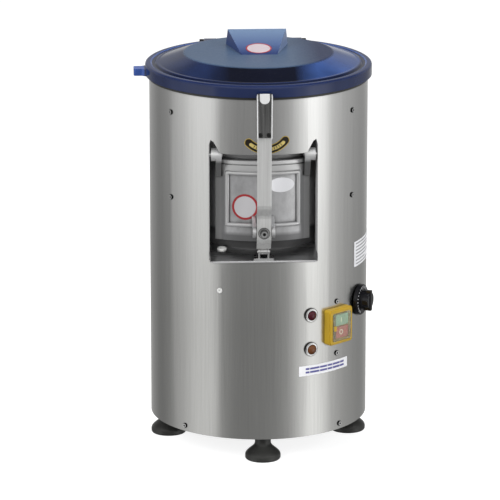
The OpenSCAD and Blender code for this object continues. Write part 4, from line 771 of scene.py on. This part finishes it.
def studio():
    """A white room for the eye, with soft bands of light and dark for reflections."""
    around = ((-180, 0.62), (-153, 0.34), (-131, 0.22), (-115, 0.28), (-95, 0.56), (-69, 0.86),
              (-52, 0.90), (-42, 0.35), (-23, 0.26), (9, 0.28), (27, 0.38), (41, 0.76),
              (54, 1.38), (67, 1.2), (83, 0.60), (109, 0.42), (137, 0.32), (180, 0.62))
    up_front = (0, 0.34), (0.18, 0.62), (0.45, 0.85), (0.7, 0.5), (1, 0.25)
    up_back = (0, 0.50), (0.12, 0.34), (0.3, 0.40), (0.42, 0.32), (0.6, 0.08), (1, 0.08)
    world = bpy.data.worlds.new("studio")
    bpy.context.scene.world = world
    world.use_nodes = True
    world.node_tree.nodes.clear()
    nodes = Nodes(world.node_tree)

    x, y, z = nodes.split(nodes.add("ShaderNodeTexCoord").outputs["Generated"])
    ahead = nodes.math("MULTIPLY", y, -1)
    azimuth = nodes.math("MULTIPLY", nodes.math("ARCTAN2", x, ahead), 180 / math.pi)
    in_front = nodes.span(ahead, 0, 1, -0.25, 0.25, "SMOOTHSTEP")
    overhead = nodes.span(z, 0, 1, -0.06, 0.08, "SMOOTHSTEP")
    underfoot = nodes.span(z, 0, 1, -0.5, -0.75, "SMOOTHSTEP")

    low = greys(nodes, azimuth, around)
    high = nodes.blend(in_front, greys(nodes, z, up_back), greys(nodes, z, up_front))
    bands = nodes.blend(underfoot, nodes.blend(overhead, low, high), grey(0.13))
    mirrored = nodes.add("ShaderNodeLightPath").outputs["Is Glossy Ray"]
    room = nodes.blend(mirrored, (0.42, 0.43, 0.44, 1), bands)
    light = nodes.add("ShaderNodeBackground")
    nodes.link(nodes.blend(nodes.seen(), room, grey(1)), light.inputs[0])
    nodes.link(light.outputs[0], nodes.add("ShaderNodeOutputWorld").inputs[0])


def ground():
    """A white floor that keeps the object's shadow and is left out of reflections."""
    material = bpy.data.materials.new("ground")
    material.use_nodes = True
    nodes = Nodes(material.node_tree)
    shader = nodes.tree.nodes["Principled BSDF"]
    whiteness = nodes.math("MULTIPLY", nodes.seen(), 0.86)
    for socket, value in (("Base Color", grey(0.35)), ("Roughness", 1),
                          ("Specular IOR Level", 0), ("Emission Color", grey(1)),
                          ("Emission Strength", whiteness)):
        nodes.feed(value, shader.inputs[socket])

    mesh = bpy.data.meshes.new("ground")
    shape = bmesh.new()
    bmesh.ops.create_grid(shape, x_segments=1, y_segments=1, size=12)
    shape.to_mesh(mesh)
    shape.free()
    mesh.materials.append(material)
    floor = bpy.data.objects.new("ground", mesh)
    bpy.context.scene.collection.objects.link(floor)
    floor.visible_glossy = False


def lamp(name, place, target, size, power):
    """A soft panel of light that no reflection shows."""
    light = bpy.data.lights.new(name, "AREA")
    light.shape = "RECTANGLE"
    light.size, light.size_y = size
    light.energy = power
    holder = bpy.data.objects.new(name, light)
    bpy.context.scene.collection.objects.link(holder)
    holder.location = place
    aim = Vector(target) - Vector(place)
    holder.rotation_euler = aim.to_track_quat("-Z", "Y").to_euler()
    holder.visible_glossy = False


def camera(azimuth, elevation, distance, focal, height, aside):
    """A camera that looks at a point beside the machine's axis. Its focal length is in
    pixels of a picture 500 wide."""
    sensor, picture = 36, 500
    data = bpy.data.cameras.new("camera")
    data.sensor_width = sensor
    data.lens = focal / picture * sensor
    data.clip_end = 100
    eye = bpy.data.objects.new("camera", data)
    bpy.context.scene.collection.objects.link(eye)
    turn, tilt = math.radians(azimuth), math.radians(elevation)
    right = Vector((math.cos(turn), math.sin(turn), 0))
    back = Vector((math.sin(turn) * math.cos(tilt), -math.cos(turn) * math.cos(tilt),
                   math.sin(tilt)))
    target = Vector((0, 0, height)) + right * aside
    eye.location = target + back * distance
    eye.rotation_euler = (-back).to_track_quat("-Z", "Y").to_euler()
    bpy.context.scene.camera = eye


warning_band()
door_stickers()
hood_sticker()
low_label()
tall_label()
switch_details()
timer_scale()
studio()
ground()
lamp("key", (-2.2, -2.6, 2.2), (0, 0, 0.4), (1.6, 1.6), 90)
lamp("fill", (2.6, -2.0, 1.8), (0, 0, 0.4), (1.4, 1.8), 60)
lamp("top", (0.2, 0.4, 2.8), (0, 0, 0.5), (1.8, 1.8), 50)
camera(azimuth=-2.756, elevation=15.31, distance=7.0, focal=3981.8, height=0.33121,
       aside=-0.01477)
bpy.context.scene.view_settings.view_transform = "Standard"
